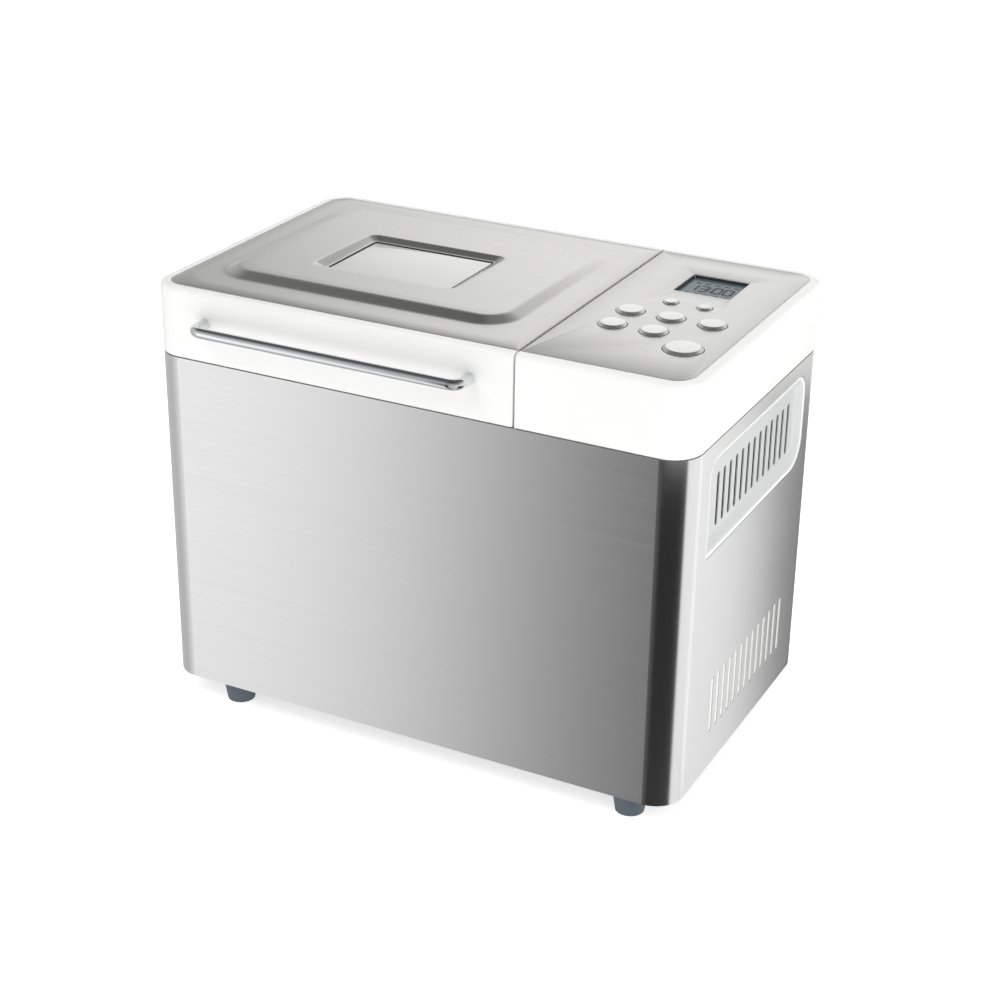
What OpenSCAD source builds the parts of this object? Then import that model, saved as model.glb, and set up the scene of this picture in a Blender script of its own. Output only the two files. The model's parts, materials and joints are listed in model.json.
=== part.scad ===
// Bread machine: a brushed steel case on four feet, a white top band whose left part is the
// hinged lid, and a control panel on the right. The oven, the pan with its kneader, the belt
// drive and the motor sit inside. +X is to the user's right, +Y to the back, +Z up. The origin
// is on the table, under the middle of the overall footprint, handle included.

/* [Case] */
// Width of the case
case_w = 380; // [370:1:400]
// Depth of the case without the handle
case_d = 232; // [228:1:244]
// Height of the steel wrap
wrap_h = 238; // [236:1:244]
// Height of the white band above the wrap
band_h = 48; // [46:1:52]
// Height of the feet
foot_h = 16; // [12:1:20]
// Outer radius of the case's upright corners
corner_r = 20; // [16:1:22]
// Thickness of the wrap's sheet
sheet_t = 1.2; // [1:0.1:1.6]
// Thickness of the moulded walls
wall_t = 2.6; // [2.2:0.1:3]

/* [Lid] */
// Width of the lid, from the case's left side
lid_w = 263.9; // [262:0.1:265]
// Gap between the lid and the control panel
seam_gap = 1.2; // [0.8:0.1:2]
// White rim around the steel top plates
rim_w = 6.7; // [5:0.1:8]
// Height of the raised field on the lid's plate
field_h = 4; // [3:0.5:5]
// Height of the hinge axis above the deck
hinge_z = 16; // [15:0.5:18]
// Distance of the hinge axis from the case's back
hinge_back = 14; // [13:0.5:14.5]

/* [Handle] */
// Radius of the handle's bar
bar_r = 3.5; // [3:0.1:4]
// Distance of the bar's axis from the lid's front
bar_reach = 15; // [13:0.5:18]
// Length of the bar between the axes of its legs
bar_l = 192; // [160:1:195]

/* [Pan and oven] */
// Length of the pan
pan_l = 182; // [176:1:184]
// Width of the pan
pan_w = 136; // [130:1:137]
// Height of the pan
pan_h = 126; // [110:1:128]
// Inside length of the oven
oven_l = 222; // [220:1:226]
// Inside width of the oven
oven_w = 176; // [175:1:178]
// Bayonet travel of the pan, in degrees
twist = 11; // [10:0.5:11]

/* [Drive] */
// Distance from the pan's axis to the motor's axis
centre_distance = 184; // [182:1:188]
// Radius of the driven pulley
big_pulley_r = 50; // [44:1:52]
// Radius of the motor pulley
small_pulley_r = 8; // [7:0.5:10]

/* [Hidden] */
$fn = 48;
eps = 0.01;

// Colours
steel = "#b9bbba";
white = "#f2f2f0";
dark_grey = "#4a4f55";
zinc = "#9ea3a6";
copper = "#b4673a";
board_green = "#2f6b3d";

// Levels, from the table up
z_base = foot_h;
z_deck = foot_h + wrap_h;
z_top = z_deck + band_h;

// Plan of the case
handle_reach = bar_reach + bar_r;
y_front = -(case_d - handle_reach) / 2;
y_back = y_front + case_d;
case_y = (y_front + y_back) / 2;
x_left = -case_w / 2;
x_right = case_w / 2;
x_seam = x_left + lid_w;          // right face of the lid
x_panel = x_seam + seam_gap;      // left face of the control panel
fit_gap = 0.3;                    // clearance of an insert in its opening

// Hinge axis
hinge_y = y_back - hinge_back;
hinge_axis_z = z_deck + hinge_z;
hinge_r = 3;
lug_r = 7;
lug_t = 10;
ear_t = 6;
hinge_xs = [x_left + 48, x_left + 214];

// Oven and pan
oven_x = -58;
oven_y = 3;
oven_r = 12;
oven_t = 1;
z_oven_floor = 62;
z_oven_top = z_deck - 3;
pan_r = 12;
pan_t = 1.6;
z_pan = 80;
z_rim = z_pan + pan_h;
lip = 3;
bail_r = 2;
bail_z = z_rim + 6;
bail_arm = pan_w / 2;
bail_x = pan_l / 2 - 3;
bail_bend = 12;
ear_x = pan_l / 2 + lip;
rest_tilt = asin((bail_z - z_rim - bail_r - 0.3) / bail_arm);   // the bail lies on the rim

// Bayonet
ring_r = 36;
z_ring = z_oven_floor + 0.4;
lug_h = 3;
lug_reach = 3.4;
lug_a = 8.5;

// Drive
shaft_r = 5;
kneader_r = 4;
run_gap = 0.05;
z_pulley = 26;
pulley_t = 14;
belt_w = 10;
belt_t = 2.4;
belt_gap = 0.15;
motor_x = oven_x + centre_distance;
motor_y = oven_y;
stator_w = 84;
z_bracket = 56;
z_stator = z_bracket + 2.5 + 13;
stator_h = 30;

// Window in the lid
win_x = x_left + 130;
win_y = y_front + 114.5;
glass_w = 90;
glass_d = 63;
recess_slope = 8;
glass_t = 3;
seal_w = 1.6;

// Control panel
panel_cx = x_left + 321.5;
pitch = 27.5;
row_y = y_front + 104;
lcd_w = 39;
lcd_d = 36;
lcd_y = y_front + 172;
button_lift = 1.8;
button_travel = 1;
// [name, x, y, radius]
BUTTONS = [
    ["menu", panel_cx - pitch, row_y, 9.2],
    ["size", panel_cx, row_y, 9.2],
    ["crust", panel_cx + pitch, row_y, 9.2],
    ["rapid", panel_cx - pitch, row_y - pitch, 9.2],
    ["light", panel_cx, row_y - pitch, 9.2],
    ["timer_up", panel_cx - 11.5, row_y + 27, 5],
    ["timer_down", panel_cx + 11.5, row_y + 27, 5],
    ["start_stop", panel_cx + pitch, row_y - 47, 12.5]];

// Vents in the right side
vent_y = y_front + 118.5;
vent_z = z_base + 195;
vent_l = 169;
vent_h = 66;
vent_radii = [2, 20, 14, 14];     // front bottom, back bottom, back top, front top
vent_dish = 3.4;
slot_n = 13;
slot_pitch = 10.3;
slot_w = 4.2;
slot_h = 36;
low_y = y_front + 123;
low_z = z_base + 47;
low_h = 40;

// Feet
foot_xs = [x_left + 48, x_right - 34];
foot_ys = [y_front + 15, y_back - 15];

// ---------- shared shapes ----------

// A rounded rectangle about the origin
module rrect(w, d, r) {
    square([w - 2 * r, d], center = true);
    square([w, d - 2 * r], center = true);
    for (sx = [-1, 1], sy = [-1, 1])
        translate([sx * (w / 2 - r), sy * (d / 2 - r)]) circle(r);
}

// A rectangle about the origin whose corners have radii of their own: -X-Y, +X-Y, +X+Y, -X+Y
module rrect4(w, d, radii) {
    corners = [[-1, -1], [1, -1], [1, 1], [-1, 1]];
    difference() {
        square([w, d], center = true);
        for (i = [0 : 3]) translate([corners[i][0] * w / 2, corners[i][1] * d / 2])
            square(2 * radii[i], center = true);
    }
    for (i = [0 : 3])
        translate([corners[i][0] * (w / 2 - radii[i]), corners[i][1] * (d / 2 - radii[i])])
            circle(radii[i]);
}

// A rounded block standing on z = 0
module rbox(w, d, h, r) {
    linear_extrude(h) rrect(w, d, r);
}

module rtube(w, d, h, r, t) {
    linear_extrude(h) difference() {
        rrect(w, d, r);
        rrect(w - 2 * t, d - 2 * t, r - t);
    }
}

module ring(r_out, r_in, h) {
    difference() {
        cylinder(r = r_out, h = h);
        translate([0, 0, -1]) cylinder(r = r_in, h = h + 2);
    }
}

// The case's plan, shrunk by inset on every side
module case_plan(inset) {
    translate([0, case_y]) rrect(case_w - 2 * inset, case_d - 2 * inset, corner_r - inset);
}

// The lid's part of the plan: its right side lies seam_inset short of the seam
module lid_plan(inset, seam_inset) {
    intersection() {
        case_plan(inset);
        translate([x_left - 1, y_front - 1])
            square([lid_w + 1 - seam_inset, case_d + 2]);
    }
}

// The control panel's part of the plan
module panel_plan(inset, seam_inset) {
    intersection() {
        case_plan(inset);
        translate([x_panel + seam_inset, y_front - 1])
            square([x_right - x_panel - seam_inset + 1, case_d + 2]);
    }
}

// Lays a shape drawn in XY onto the case's right side: X runs back, Y runs up, Z points out
module on_right_side(x) {
    translate([x, 0, 0]) rotate([90, 0, 90]) children();
}

// Lays a shape drawn in XY onto the case's back: X runs right, Y runs up, Z points to the front
module on_back(y) {
    translate([0, y, 0]) rotate([90, 0, 0]) children();
}

module at_oven() {
    translate([oven_x, oven_y, 0]) children();
}

module at_motor() {
    translate([motor_x, motor_y, 0]) children();
}

// The row of upright slots, centred on the origin
module slot_row(w, h) {
    for (i = [0 : slot_n - 1])
        translate([(i - (slot_n - 1) / 2) * slot_pitch, 0]) rrect(w, h, w / 2 - eps);
}

module screw(head_r, head_h, r, l) {
    cylinder(r = head_r, h = head_h);
    translate([0, 0, head_h]) cylinder(r = r, h = l);
}

// A wedge of a ring, centred on the X axis
module ring_tab(r_in, r_out, a, h) {
    rotate([0, 0, -a / 2]) rotate_extrude(angle = a)
        translate([r_in, 0]) square([r_out - r_in, h]);
}

// ---------- case ----------

// Channel moulded on the base: it carries the oven, in front of the belt or behind it
module oven_channel(y) {
    t = 1.6;
    root = 1;
    flange = 12 + t;
    h = z_oven_floor - oven_t - z_base - 3;
    translate([oven_x - 80, y - t / 2, z_base + 3]) {
        translate([0, 0, -root]) cube([160, t, h + root]);
        translate([0, -6, -root]) cube([160, flange, t + root]);
        translate([0, -6, h - t]) cube([160, flange, t]);
    }
}

module base_plate() {
    color(dark_grey) difference() {
        union() {
            translate([0, case_y, z_base])
                rbox(case_w - 2 * sheet_t - 0.6, case_d - 2 * sheet_t - 0.6, 3, corner_r - 2);
            translate([0, case_y, z_base + 3])
                rtube(case_w - 2 * sheet_t - 0.6, case_d - 2 * sheet_t - 0.6, 12,
                    corner_r - 2, 2.5);
            for (x = foot_xs, y = foot_ys)
                translate([x, y, z_base + 3]) cylinder(r = 5.5, h = 9);
            for (s = [-1, 1]) oven_channel(oven_y + s * 76);
        }
        for (x = foot_xs, y = foot_ys)
            translate([x, y, z_base - 1]) cylinder(r = 2, h = 14);
        // air slots under the motor
        for (i = [-3 : 3])
            translate([motor_x + i * 12, motor_y, z_base - 1]) rbox(5, 70, 5, 2.4);
    }
}

module foot() {
    difference() {
        cylinder(r1 = 9.5, r2 = 12, h = foot_h);
        translate([0, 0, -1]) cylinder(r = 5, h = foot_h / 2 + 1);
        translate([0, 0, foot_h / 2 - 1]) cylinder(r = 2.1, h = foot_h);
    }
}

module feet() {
    color(dark_grey) for (x = foot_xs, y = foot_ys) translate([x, y, 0]) foot();
}

rear_w = 300;
rear_h = 200;
rear_z = z_base + 122;

module steel_wrap() {
    color(steel) difference() {
        translate([0, case_y, z_base]) rtube(case_w, case_d, wrap_h, corner_r, sheet_t);
        on_right_side(x_right - 5) translate([vent_y, vent_z])
            linear_extrude(10) rrect4(vent_l, vent_h, vent_radii);
        on_right_side(x_right - 5) translate([low_y, low_z])
            linear_extrude(10) slot_row(slot_w, low_h);
        on_back(y_back + 5) translate([0, rear_z]) rbox(rear_w, rear_h, 10, 10);
    }
}

gland_x = 150 - 34;
gland_z = z_base + 36;
gland_bore = 3.7;

module rear_panel() {
    color(white) difference() {
        union() {
            on_back(y_back) translate([0, rear_z])
                rbox(rear_w - 2 * fit_gap, rear_h - 2 * fit_gap, sheet_t + 0.2, 10 - fit_gap);
            on_back(y_back - sheet_t) translate([0, rear_z])
                rbox(rear_w + 10, rear_h + 10, 2, 12);
        }
        on_back(y_back + 5) for (z = [rear_z - 30, rear_z + 30])
            translate([0, z]) linear_extrude(20) slot_row(slot_w, slot_h);
        on_back(y_back + 5) translate([gland_x, gland_z]) cylinder(r = 9, h = 20);
    }
}

// The bush that the mains lead leaves through
module cord_gland() {
    color(dark_grey) translate([gland_x, 0, gland_z]) rotate([90, 0, 0]) difference() {
        union() {
            translate([0, 0, -y_back]) cylinder(r = 8.9, h = 12);
            translate([0, 0, -y_back + sheet_t + 2]) cylinder(r = 12, h = 3);
        }
        translate([0, 0, -y_back - 1]) cylinder(r = gland_bore, h = 20);
    }
}

module side_vent_grille() {
    color(white) difference() {
        union() {
            on_right_side(x_right - sheet_t - 5) translate([vent_y, vent_z])
                linear_extrude(sheet_t + 5)
                    rrect4(vent_l - 2 * fit_gap, vent_h - 2 * fit_gap,
                        [for (r = vent_radii) r - fit_gap]);
            on_right_side(x_right - sheet_t - 2) translate([vent_y, vent_z])
                rbox(vent_l + 8, vent_h + 8, 2, 6);
        }
        // the dished face
        on_right_side(0) translate([vent_y, vent_z]) hull() {
            translate([0, 0, x_right - vent_dish]) rbox(vent_l - 26, vent_h - 24, eps, 6, $fn = 32);
            translate([0, 0, x_right + eps])
                rbox(vent_l - 4, vent_h - 4, eps, max(vent_radii) - 2, $fn = 32);
        }
        on_right_side(x_right - 20) translate([vent_y, vent_z - 1])
            linear_extrude(30) slot_row(slot_w, slot_h);
    }
}

// Louvre strip behind the lower slots
module lower_vent_liner() {
    color(white) difference() {
        on_right_side(x_right - sheet_t - 2.4) translate([low_y, low_z])
            rbox(slot_n * slot_pitch + 12, low_h + 14, 2.4, 5);
        on_right_side(x_right - 10) translate([low_y - slot_w / 4, low_z])
            linear_extrude(20) slot_row(slot_w / 2, low_h);
    }
}

z_roof = z_top - 1;         // top of the moulding under the steel plates
roof_t = 2.6;

module button_holes(extra, h) {
    for (b = BUTTONS) translate([b[1], b[2], 0]) cylinder(r = b[3] + extra, h = h);
}

module upper_housing() {
    shadow = 0.6;
    color(white) difference() {
        union() {
            // walls of the control panel's box
            translate([0, 0, z_deck + shadow]) linear_extrude(z_roof - z_deck - shadow)
                difference() {
                    panel_plan(0, 0);
                    panel_plan(wall_t, wall_t);
                }
            // rim and roof under the fascia
            translate([0, 0, z_roof - roof_t]) linear_extrude(roof_t) panel_plan(1, 1);
            translate([0, 0, z_roof - roof_t]) linear_extrude(roof_t + 1) difference() {
                panel_plan(0, 0);
                panel_plan(rim_w, 0.8);
            }
            // lip that stands on the deck
            translate([0, 0, z_deck]) linear_extrude(2) difference() {
                panel_plan(sheet_t + 0.2, 0.2);
                panel_plan(wall_t + 0.4, wall_t);
            }
            // bosses for the control board
            for (x = [-42, 42], y = [-72, 88])
                translate([panel_cx + x, y, z_roof - roof_t - 14.4]) cylinder(r = 3.5, h = 15);
        }
        translate([0, 0, z_roof - roof_t - 1]) button_holes(0.3, 8);
        translate([panel_cx, lcd_y, z_roof - roof_t - 1]) rbox(lcd_w, lcd_d, 8, 1);
    }
}

// Deck on top of the wrap, with the oven's mouth, and a fence in front of the hinge
module top_frame() {
    deck_t = 3;
    fence_y = hinge_y - 18.2;
    fence_t = 2;
    fence_h = 12;
    end_gap = 8;
    color(white) difference() {
        union() {
            translate([0, 0, z_deck - deck_t]) linear_extrude(deck_t) case_plan(sheet_t + 0.2);
            translate([x_left + end_gap, fence_y, z_deck - 1])
                cube([lid_w - 2 * end_gap, fence_t, fence_h + 1]);
        }
        at_oven() translate([0, 0, z_deck - 5]) rbox(oven_l + 2, oven_w + 2, 8, oven_r + 1);
        // opening below the control board
        translate([panel_cx, case_y, z_deck - 5]) rbox(84, 170, 8, 8);
    }
}

module control_fascia() {
    color(steel) translate([0, 0, z_roof]) linear_extrude(1) difference() {
        panel_plan(rim_w + 0.1, 0.9);
        for (b = BUTTONS) translate([b[1], b[2]]) circle(b[3] + 0.3);
        translate([panel_cx, lcd_y]) rrect(lcd_w - 1, lcd_d - 1, 1);
    }
}

module lcd_lens() {
    color("#5d7078") translate([panel_cx, lcd_y, z_roof - 1.2])
        rbox(lcd_w - 0.4, lcd_d - 0.4, 1.2, 0.8);
}

z_board = z_roof - roof_t - 14.4 - 1.6;

// Board with its push switches, one under each button, and the soldered display module
module control_board() {
    color(board_green) {
        translate([panel_cx, lcd_y, z_board + 6]) rbox(lcd_w + 6, lcd_d + 4, 6, 1);
        for (x = [-18, 18], y = [-15, 15])
            translate([panel_cx + x, lcd_y + y, z_board + 1.5]) cylinder(r = 1.5, h = 4.6);
        difference() {
            translate([panel_cx - 47, -82, z_board]) cube([94, 180, 1.6]);
            for (x = [-42, 42], y = [-72, 88])
                translate([panel_cx + x, y, z_board - 1]) cylinder(r = 1.6, h = 4);
        }
        for (b = BUTTONS) translate([b[1], b[2], z_board + 1.6]) {
            translate([-3, -3, -0.1]) cube([6, 6, 3.7]);
            translate([0, 0, 3.5]) cylinder(r = 1.7, h = 1.5);
        }
    }
}

module button(b) {
    z_under = z_roof - roof_t - 0.1;
    top = z_top + button_lift;
    dome_r = 4 * b[3];
    stem_z = z_board + 1.6 + 5 + button_travel + 0.1;
    color("#dfe1e0") translate([b[1], b[2], 0]) {
        intersection() {
            translate([0, 0, z_under]) cylinder(r = b[3], h = top - z_under);
            translate([0, 0, top - dome_r]) sphere(dome_r);
        }
        translate([0, 0, z_under - 1.2]) cylinder(r = b[3] + 1.2, h = 1.2);
        translate([0, 0, stem_z]) cylinder(r = 1.5, h = z_under - 1.2 - stem_z);
    }
}

// ---------- oven ----------

module oven_liner() {
    color(zinc) at_oven() difference() {
        union() {
            translate([0, 0, z_oven_floor - oven_t])
                rbox(oven_l + 2 * oven_t, oven_w + 2 * oven_t, z_oven_top - z_oven_floor,
                    oven_r + oven_t);
            translate([0, 0, z_oven_top - oven_t]) rbox(oven_l + 14, oven_w + 14, oven_t, oven_r + 7);
        }
        translate([0, 0, z_oven_floor]) rbox(oven_l, oven_w, wrap_h, oven_r);
        translate([0, 0, z_oven_floor - 5]) cylinder(r = 13.5, h = 10);
        // heater leads and the sensor go out through the right wall
        for (y = [-12, 12]) translate([oven_l / 2 - 5, y, heater_z]) rotate([0, 90, 0])
            cylinder(r = 3.6, h = 12);
        translate([oven_l / 2 - 5, 40, sensor_z]) rotate([0, 90, 0]) cylinder(r = 3.2, h = 12);
    }
}

heater_z = 72;
heater_r = 3.3;
heater_l = 192;
heater_w = 146;
heater_bend = 30;

// One half of the element, from the front lead round to the middle of the left side
module heater_half() {
    b = 10;
    xr = heater_l / 2;
    yf = heater_w / 2;
    // lead out through the wall, and the bend onto the right side
    translate([xr + b, -12, 0]) rotate([0, 90, 0]) cylinder(r = heater_r, h = 18);
    translate([xr + b, -12 - b, 0]) rotate([0, 0, 90]) rotate_extrude(angle = 90)
        translate([b, 0]) circle(heater_r);
    translate([xr, -12 - b, 0]) rotate([90, 0, 0])
        cylinder(r = heater_r, h = yf - heater_bend - 12 - b);
    translate([xr - heater_bend, -yf + heater_bend, 0]) rotate([0, 0, -90])
        rotate_extrude(angle = 90) translate([heater_bend, 0]) circle(heater_r);
    translate([-xr + heater_bend, -yf, 0]) rotate([0, 90, 0])
        cylinder(r = heater_r, h = 2 * (xr - heater_bend));
    translate([-xr + heater_bend, -yf + heater_bend, 0]) rotate([0, 0, 180])
        rotate_extrude(angle = 90) translate([heater_bend, 0]) circle(heater_r);
    translate([-xr, 0, 0]) rotate([90, 0, 0]) cylinder(r = heater_r, h = yf - heater_bend);
}

module heating_element() {
    color("#3c3c3e") at_oven() translate([0, 0, heater_z]) {
        heater_half();
        mirror([0, 1, 0]) heater_half();
    }
}

sensor_z = 104;

module temperature_sensor() {
    color(zinc) at_oven() translate([oven_l / 2 - 8, 40, sensor_z]) rotate([0, 90, 0]) {
        cylinder(r = 3, h = 26);
        translate([0, 0, 8 + oven_t + 0.1]) cylinder(r = 6, h = 3);
    }
}

module thermal_fuse() {
    color(white) at_oven() translate([oven_l / 2 + oven_t, -30, sensor_z + 30]) {
        translate([0, -8, -12]) cube([1.5, 16, 24]);
        translate([1.5 + 3, 0, -9]) cylinder(r = 3, h = 18);
    }
}

lock_in = ring_r + 1;
lock_wall = ring_r + lug_reach + 1.6;

// Bayonet ring on the oven floor: four hooks hold the pan's lugs down
module pan_lock_ring() {
    h = z_ring - z_oven_floor + lug_h + 0.8 + 3.2;
    color(steel) at_oven() translate([0, 0, z_oven_floor]) {
        ring(lock_wall + 3, lock_wall, h);
        for (a = [0 : 90 : 270]) rotate([0, 0, a + 45])
            translate([0, 0, h - 3.2]) ring_tab(lock_in, lock_wall + 1, lug_a, 3.2);
        for (a = [0 : 90 : 270]) rotate([0, 0, a]) translate([lock_wall + 8, 0, 0])
            difference() {
                translate([-5.8, -6, 0]) cube([12, 12, 1.5]);
                translate([1, 0, -1]) cylinder(r = 2, h = 4);
            }
    }
}

bearing_top = z_oven_floor + 0.8;
bearing_bottom = 42;

module bearing_housing() {
    color(zinc) at_oven() difference() {
        union() {
            translate([0, 0, bearing_bottom]) cylinder(r = 13, h = bearing_top - bearing_bottom);
            translate([0, 0, z_oven_floor - oven_t - 4]) cylinder(r = 34, h = 4);
            for (a = [0, 120, 240]) rotate([0, 0, a + 30])
                translate([10, -1.5, bearing_bottom + 3]) cube([20, 3, 14]);
        }
        translate([0, 0, bearing_bottom - 1]) cylinder(r = shaft_r + 2, h = 40);
        for (a = [0, 120, 240]) rotate([0, 0, a + 90]) translate([27, 0, 40])
            cylinder(r = 2, h = 40);
    }
}

module drive_bushes() {
    color("#a9823c") at_oven() for (z = [bearing_bottom, bearing_top - 8])
        translate([0, 0, z]) ring(shaft_r + 2, shaft_r + run_gap, 8);
}

// ---------- drive ----------

// Ribbed pulley: rim, thin web with holes, hub
module pulley(r, hub_r, bore_r, web) {
    difference() {
        rotate_extrude() difference() {
            translate([bore_r, 0]) square([r - bore_r, pulley_t]);
            // flanges stand 1.6 mm above the belt's seat
            translate([r - 1.6, 2]) square([3, belt_w]);
            if (web) translate([hub_r, -1]) square([r - 6 - hub_r, (pulley_t - 4) / 2 + 1]);
            if (web) translate([hub_r, (pulley_t + 4) / 2])
                square([r - 6 - hub_r, (pulley_t - 4) / 2 + 1]);
        }
        if (web) for (a = [0 : 60 : 300]) rotate([0, 0, a])
            translate([(hub_r + r - 6) / 2, 0, -1]) cylinder(r = 8, h = pulley_t + 2);
    }
}

module driven_pulley() {
    color("#e6e4da") at_oven() translate([0, 0, z_pulley])
        pulley(big_pulley_r + 1.6, 12, shaft_r, true);
}

module motor_pulley() {
    color(zinc) at_motor() translate([0, 0, z_pulley])
        pulley(small_pulley_r + 1.6, 6, 4, false);
}

// Outline of a belt of the given seat radii around both pulleys
function belt_outline(r_big, r_small, n = 40) =
    let (a = acos((r_big - r_small) / centre_distance))
    concat(
        [for (i = [0 : n]) let (t = a + i * (360 - 2 * a) / n)
            [oven_x + r_big * cos(t), oven_y + r_big * sin(t)]],
        [for (i = [0 : 16]) let (t = -a + i * 2 * a / 16)
            [motor_x + r_small * cos(t), motor_y + r_small * sin(t)]]);

module drive_belt() {
    g = belt_gap;
    color("#1f1f21") translate([0, 0, z_pulley + 2 + g]) linear_extrude(belt_w - 2 * g)
        difference() {
            polygon(belt_outline(big_pulley_r + g + belt_t, small_pulley_r + g + belt_t));
            polygon(belt_outline(big_pulley_r + 2 * g, small_pulley_r + 2 * g));
        }
}

module drive_shaft() {
    color(zinc) at_oven() {
        translate([0, 0, z_pulley - 3]) cylinder(r = shaft_r, h = bearing_top + 6 - z_pulley);
        translate([0, 0, z_pulley - 2.5]) ring(shaft_r + 3, shaft_r, 2.3);
    }
}

coupler_z = bearing_top + 0.6;

// Dogs stand clear of the pan coupler's wings by more than the pan's bayonet travel
module drive_coupler() {
    color("#3a3c40") at_oven() translate([0, 0, coupler_z]) {
        difference() {
            cylinder(r = 24, h = 3.6);
            translate([0, 0, -1]) cylinder(r = shaft_r, h = 3.4);
        }
        for (a = [40, 220]) rotate([0, 0, a])
            translate([0, 0, 3.6]) ring_tab(13, 22, 24, 8);
    }
}

module pan_coupler() {
    color(zinc) at_oven() translate([0, 0, coupler_z + 5.4]) difference() {
        union() {
            cylinder(r = 8, h = 5.6);
            translate([-21, -4, 0]) cube([42, 8, 5]);
        }
        translate([0, 0, -1]) cylinder(r = kneader_r, h = 8);
    }
}

module motor_bracket() {
    w = stator_w + 26;
    z = z_bracket;
    color(zinc) at_motor() difference() {
        union() {
            translate([0, 0, z]) rbox(w, w, 2.5, 8);
            for (x = [-1, 1], y = [-1, 1]) translate([x * (w / 2 - 7), y * (w / 2 - 7), z_base + 3])
                cylinder(r = 5, h = z - z_base - 3);
        }
        translate([0, 0, z - 1]) cylinder(r = 16, h = 5);
        for (x = [-1, 1], y = [-1, 1])
            translate([x * (w / 2 - 7), y * (w / 2 - 7), z - 12]) cylinder(r = 2, h = 16);
    }
}

// Laminated core: eight teeth point at the rotor
module motor_stator() {
    color("#6f7479") at_motor() translate([0, 0, z_stator]) linear_extrude(stator_h)
        difference() {
            rrect(stator_w, stator_w, 10);
            circle(21.5);
            for (a = [0 : 45 : 315]) rotate(a) translate([21, -4.5]) square([12, 9]);
            for (x = [-1, 1], y = [-1, 1]) translate([x * 35, y * 35]) circle(2.3);
        }
}

module motor_windings() {
    color(copper) at_motor() {
        translate([0, 0, z_stator - 8]) ring(32.5, 22.5, 7.9);
        translate([0, 0, z_stator + stator_h + 0.1]) ring(32.5, 22.5, 7.9);
    }
}

// Cast end frames hold the rotor's bearings
module motor_end_frames() {
    color("#a7abad") at_motor() for (m = [0, 1])
        translate([0, 0, z_stator + stator_h / 2]) mirror([0, 0, m])
            translate([0, 0, stator_h / 2]) difference() {
                union() {
                    translate([0, 0, 10]) difference() {
                        rbox(stator_w, stator_w, 3, 10);
                        for (x = [-1, 1], y = [-1, 1])
                            translate([x * 22, y * 22, -1]) cylinder(r = 9, h = 6);
                    }
                    for (x = [-1, 1], y = [-1, 1])
                        translate([x * 35, y * 35, 0]) cylinder(r = 6, h = 12);
                    cylinder(r = 8, h = 12);
                }
                translate([0, 0, -1]) cylinder(r = 4 + run_gap, h = 20);
                for (x = [-1, 1], y = [-1, 1])
                    translate([x * 35, y * 35, -1]) cylinder(r = 2.3, h = 20);
                // room for the rotor's end rings
                translate([0, 0, -1]) ring(20.5, 10, 9);
            }
}

module motor_rotor() {
    color(zinc) at_motor() {
        translate([0, 0, z_stator - 0.5]) difference() {
            cylinder(r = 21, h = stator_h + 1);
            translate([0, 0, -1]) cylinder(r = 4, h = stator_h + 3);
            translate([0, 0, -1]) cylinder(r = 9.5, h = 2);
            translate([0, 0, stator_h]) cylinder(r = 9.5, h = 2);
        }
        translate([0, 0, z_pulley - 3]) cylinder(r = 4, h = z_stator + stator_h + 34 - z_pulley);
    }
}

module cooling_fan() {
    z = z_stator + stator_h + 16;
    color("#d8d8d2") at_motor() translate([0, 0, z]) difference() {
        union() {
            cylinder(r = 9, h = 12);
            cylinder(r = 34, h = 1.6);
            for (a = [0 : 30 : 330]) rotate([0, 0, a]) translate([8, -0.7, 0]) cube([25.5, 1.4, 12]);
        }
        translate([0, 0, -1]) cylinder(r = 4, h = 20);
    }
}

cap_x = x_right - 42;
cap_y = y_front + 36.5;

module run_capacitor() {
    color("#dadde0") translate([cap_x, cap_y, z_base + 3]) {
        cylinder(r = 16, h = 56);
        for (x = [-5, 5]) translate([x - 0.4, -3, 56]) cube([0.8, 6, 8]);
    }
}

pcb_y = y_back - 22;

// Mains board at the back of the motor bay, with its transformer, relay and heat sink
module power_board() {
    color(board_green) {
        translate([x_panel + 3, pcb_y, 96]) cube([76, 1.6, 104]);
        translate([x_panel + 8, pcb_y - 28, 106]) cube([36, 28.5, 32]);
        translate([x_panel + 50, pcb_y - 16, 108]) cube([22, 16.5, 28]);
        for (i = [0 : 5])
            translate([x_panel + 10 + i * 5, pcb_y - 22, 152]) cube([1.6, 22.5, 34]);
        for (z = [156, 178]) translate([x_panel + 60, pcb_y + 0.5, z]) rotate([90, 0, 0])
            cylinder(r = 6.5, h = 22);
        // posts to the rear panel
        for (x = [7, 75], z = [100, 196]) translate([x_panel + x, pcb_y + 1.5, z])
            rotate([-90, 0, 0]) cylinder(r = 3, h = y_back - 3.2 - pcb_y - 1.5);
    }
}

// ---------- hinge ----------

module hinge_brackets() {
    color(zinc) for (x = hinge_xs) translate([x - lug_t / 2, hinge_y, 0]) difference() {
        union() {
            translate([0, 0, hinge_axis_z]) rotate([0, 90, 0]) cylinder(r = lug_r, h = lug_t);
            translate([0, -lug_r, z_deck]) cube([lug_t, 2 * lug_r, hinge_z]);
        }
        translate([-1, 0, hinge_axis_z]) rotate([0, 90, 0]) cylinder(r = hinge_r, h = lug_t + 2);
    }
}

module hinge_pins() {
    l = lug_t + 2 * ear_t + 2;
    color(steel) for (x = hinge_xs) translate([x - l / 2, hinge_y, hinge_axis_z])
        rotate([0, 90, 0]) cylinder(r = hinge_r, h = l);
}

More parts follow.
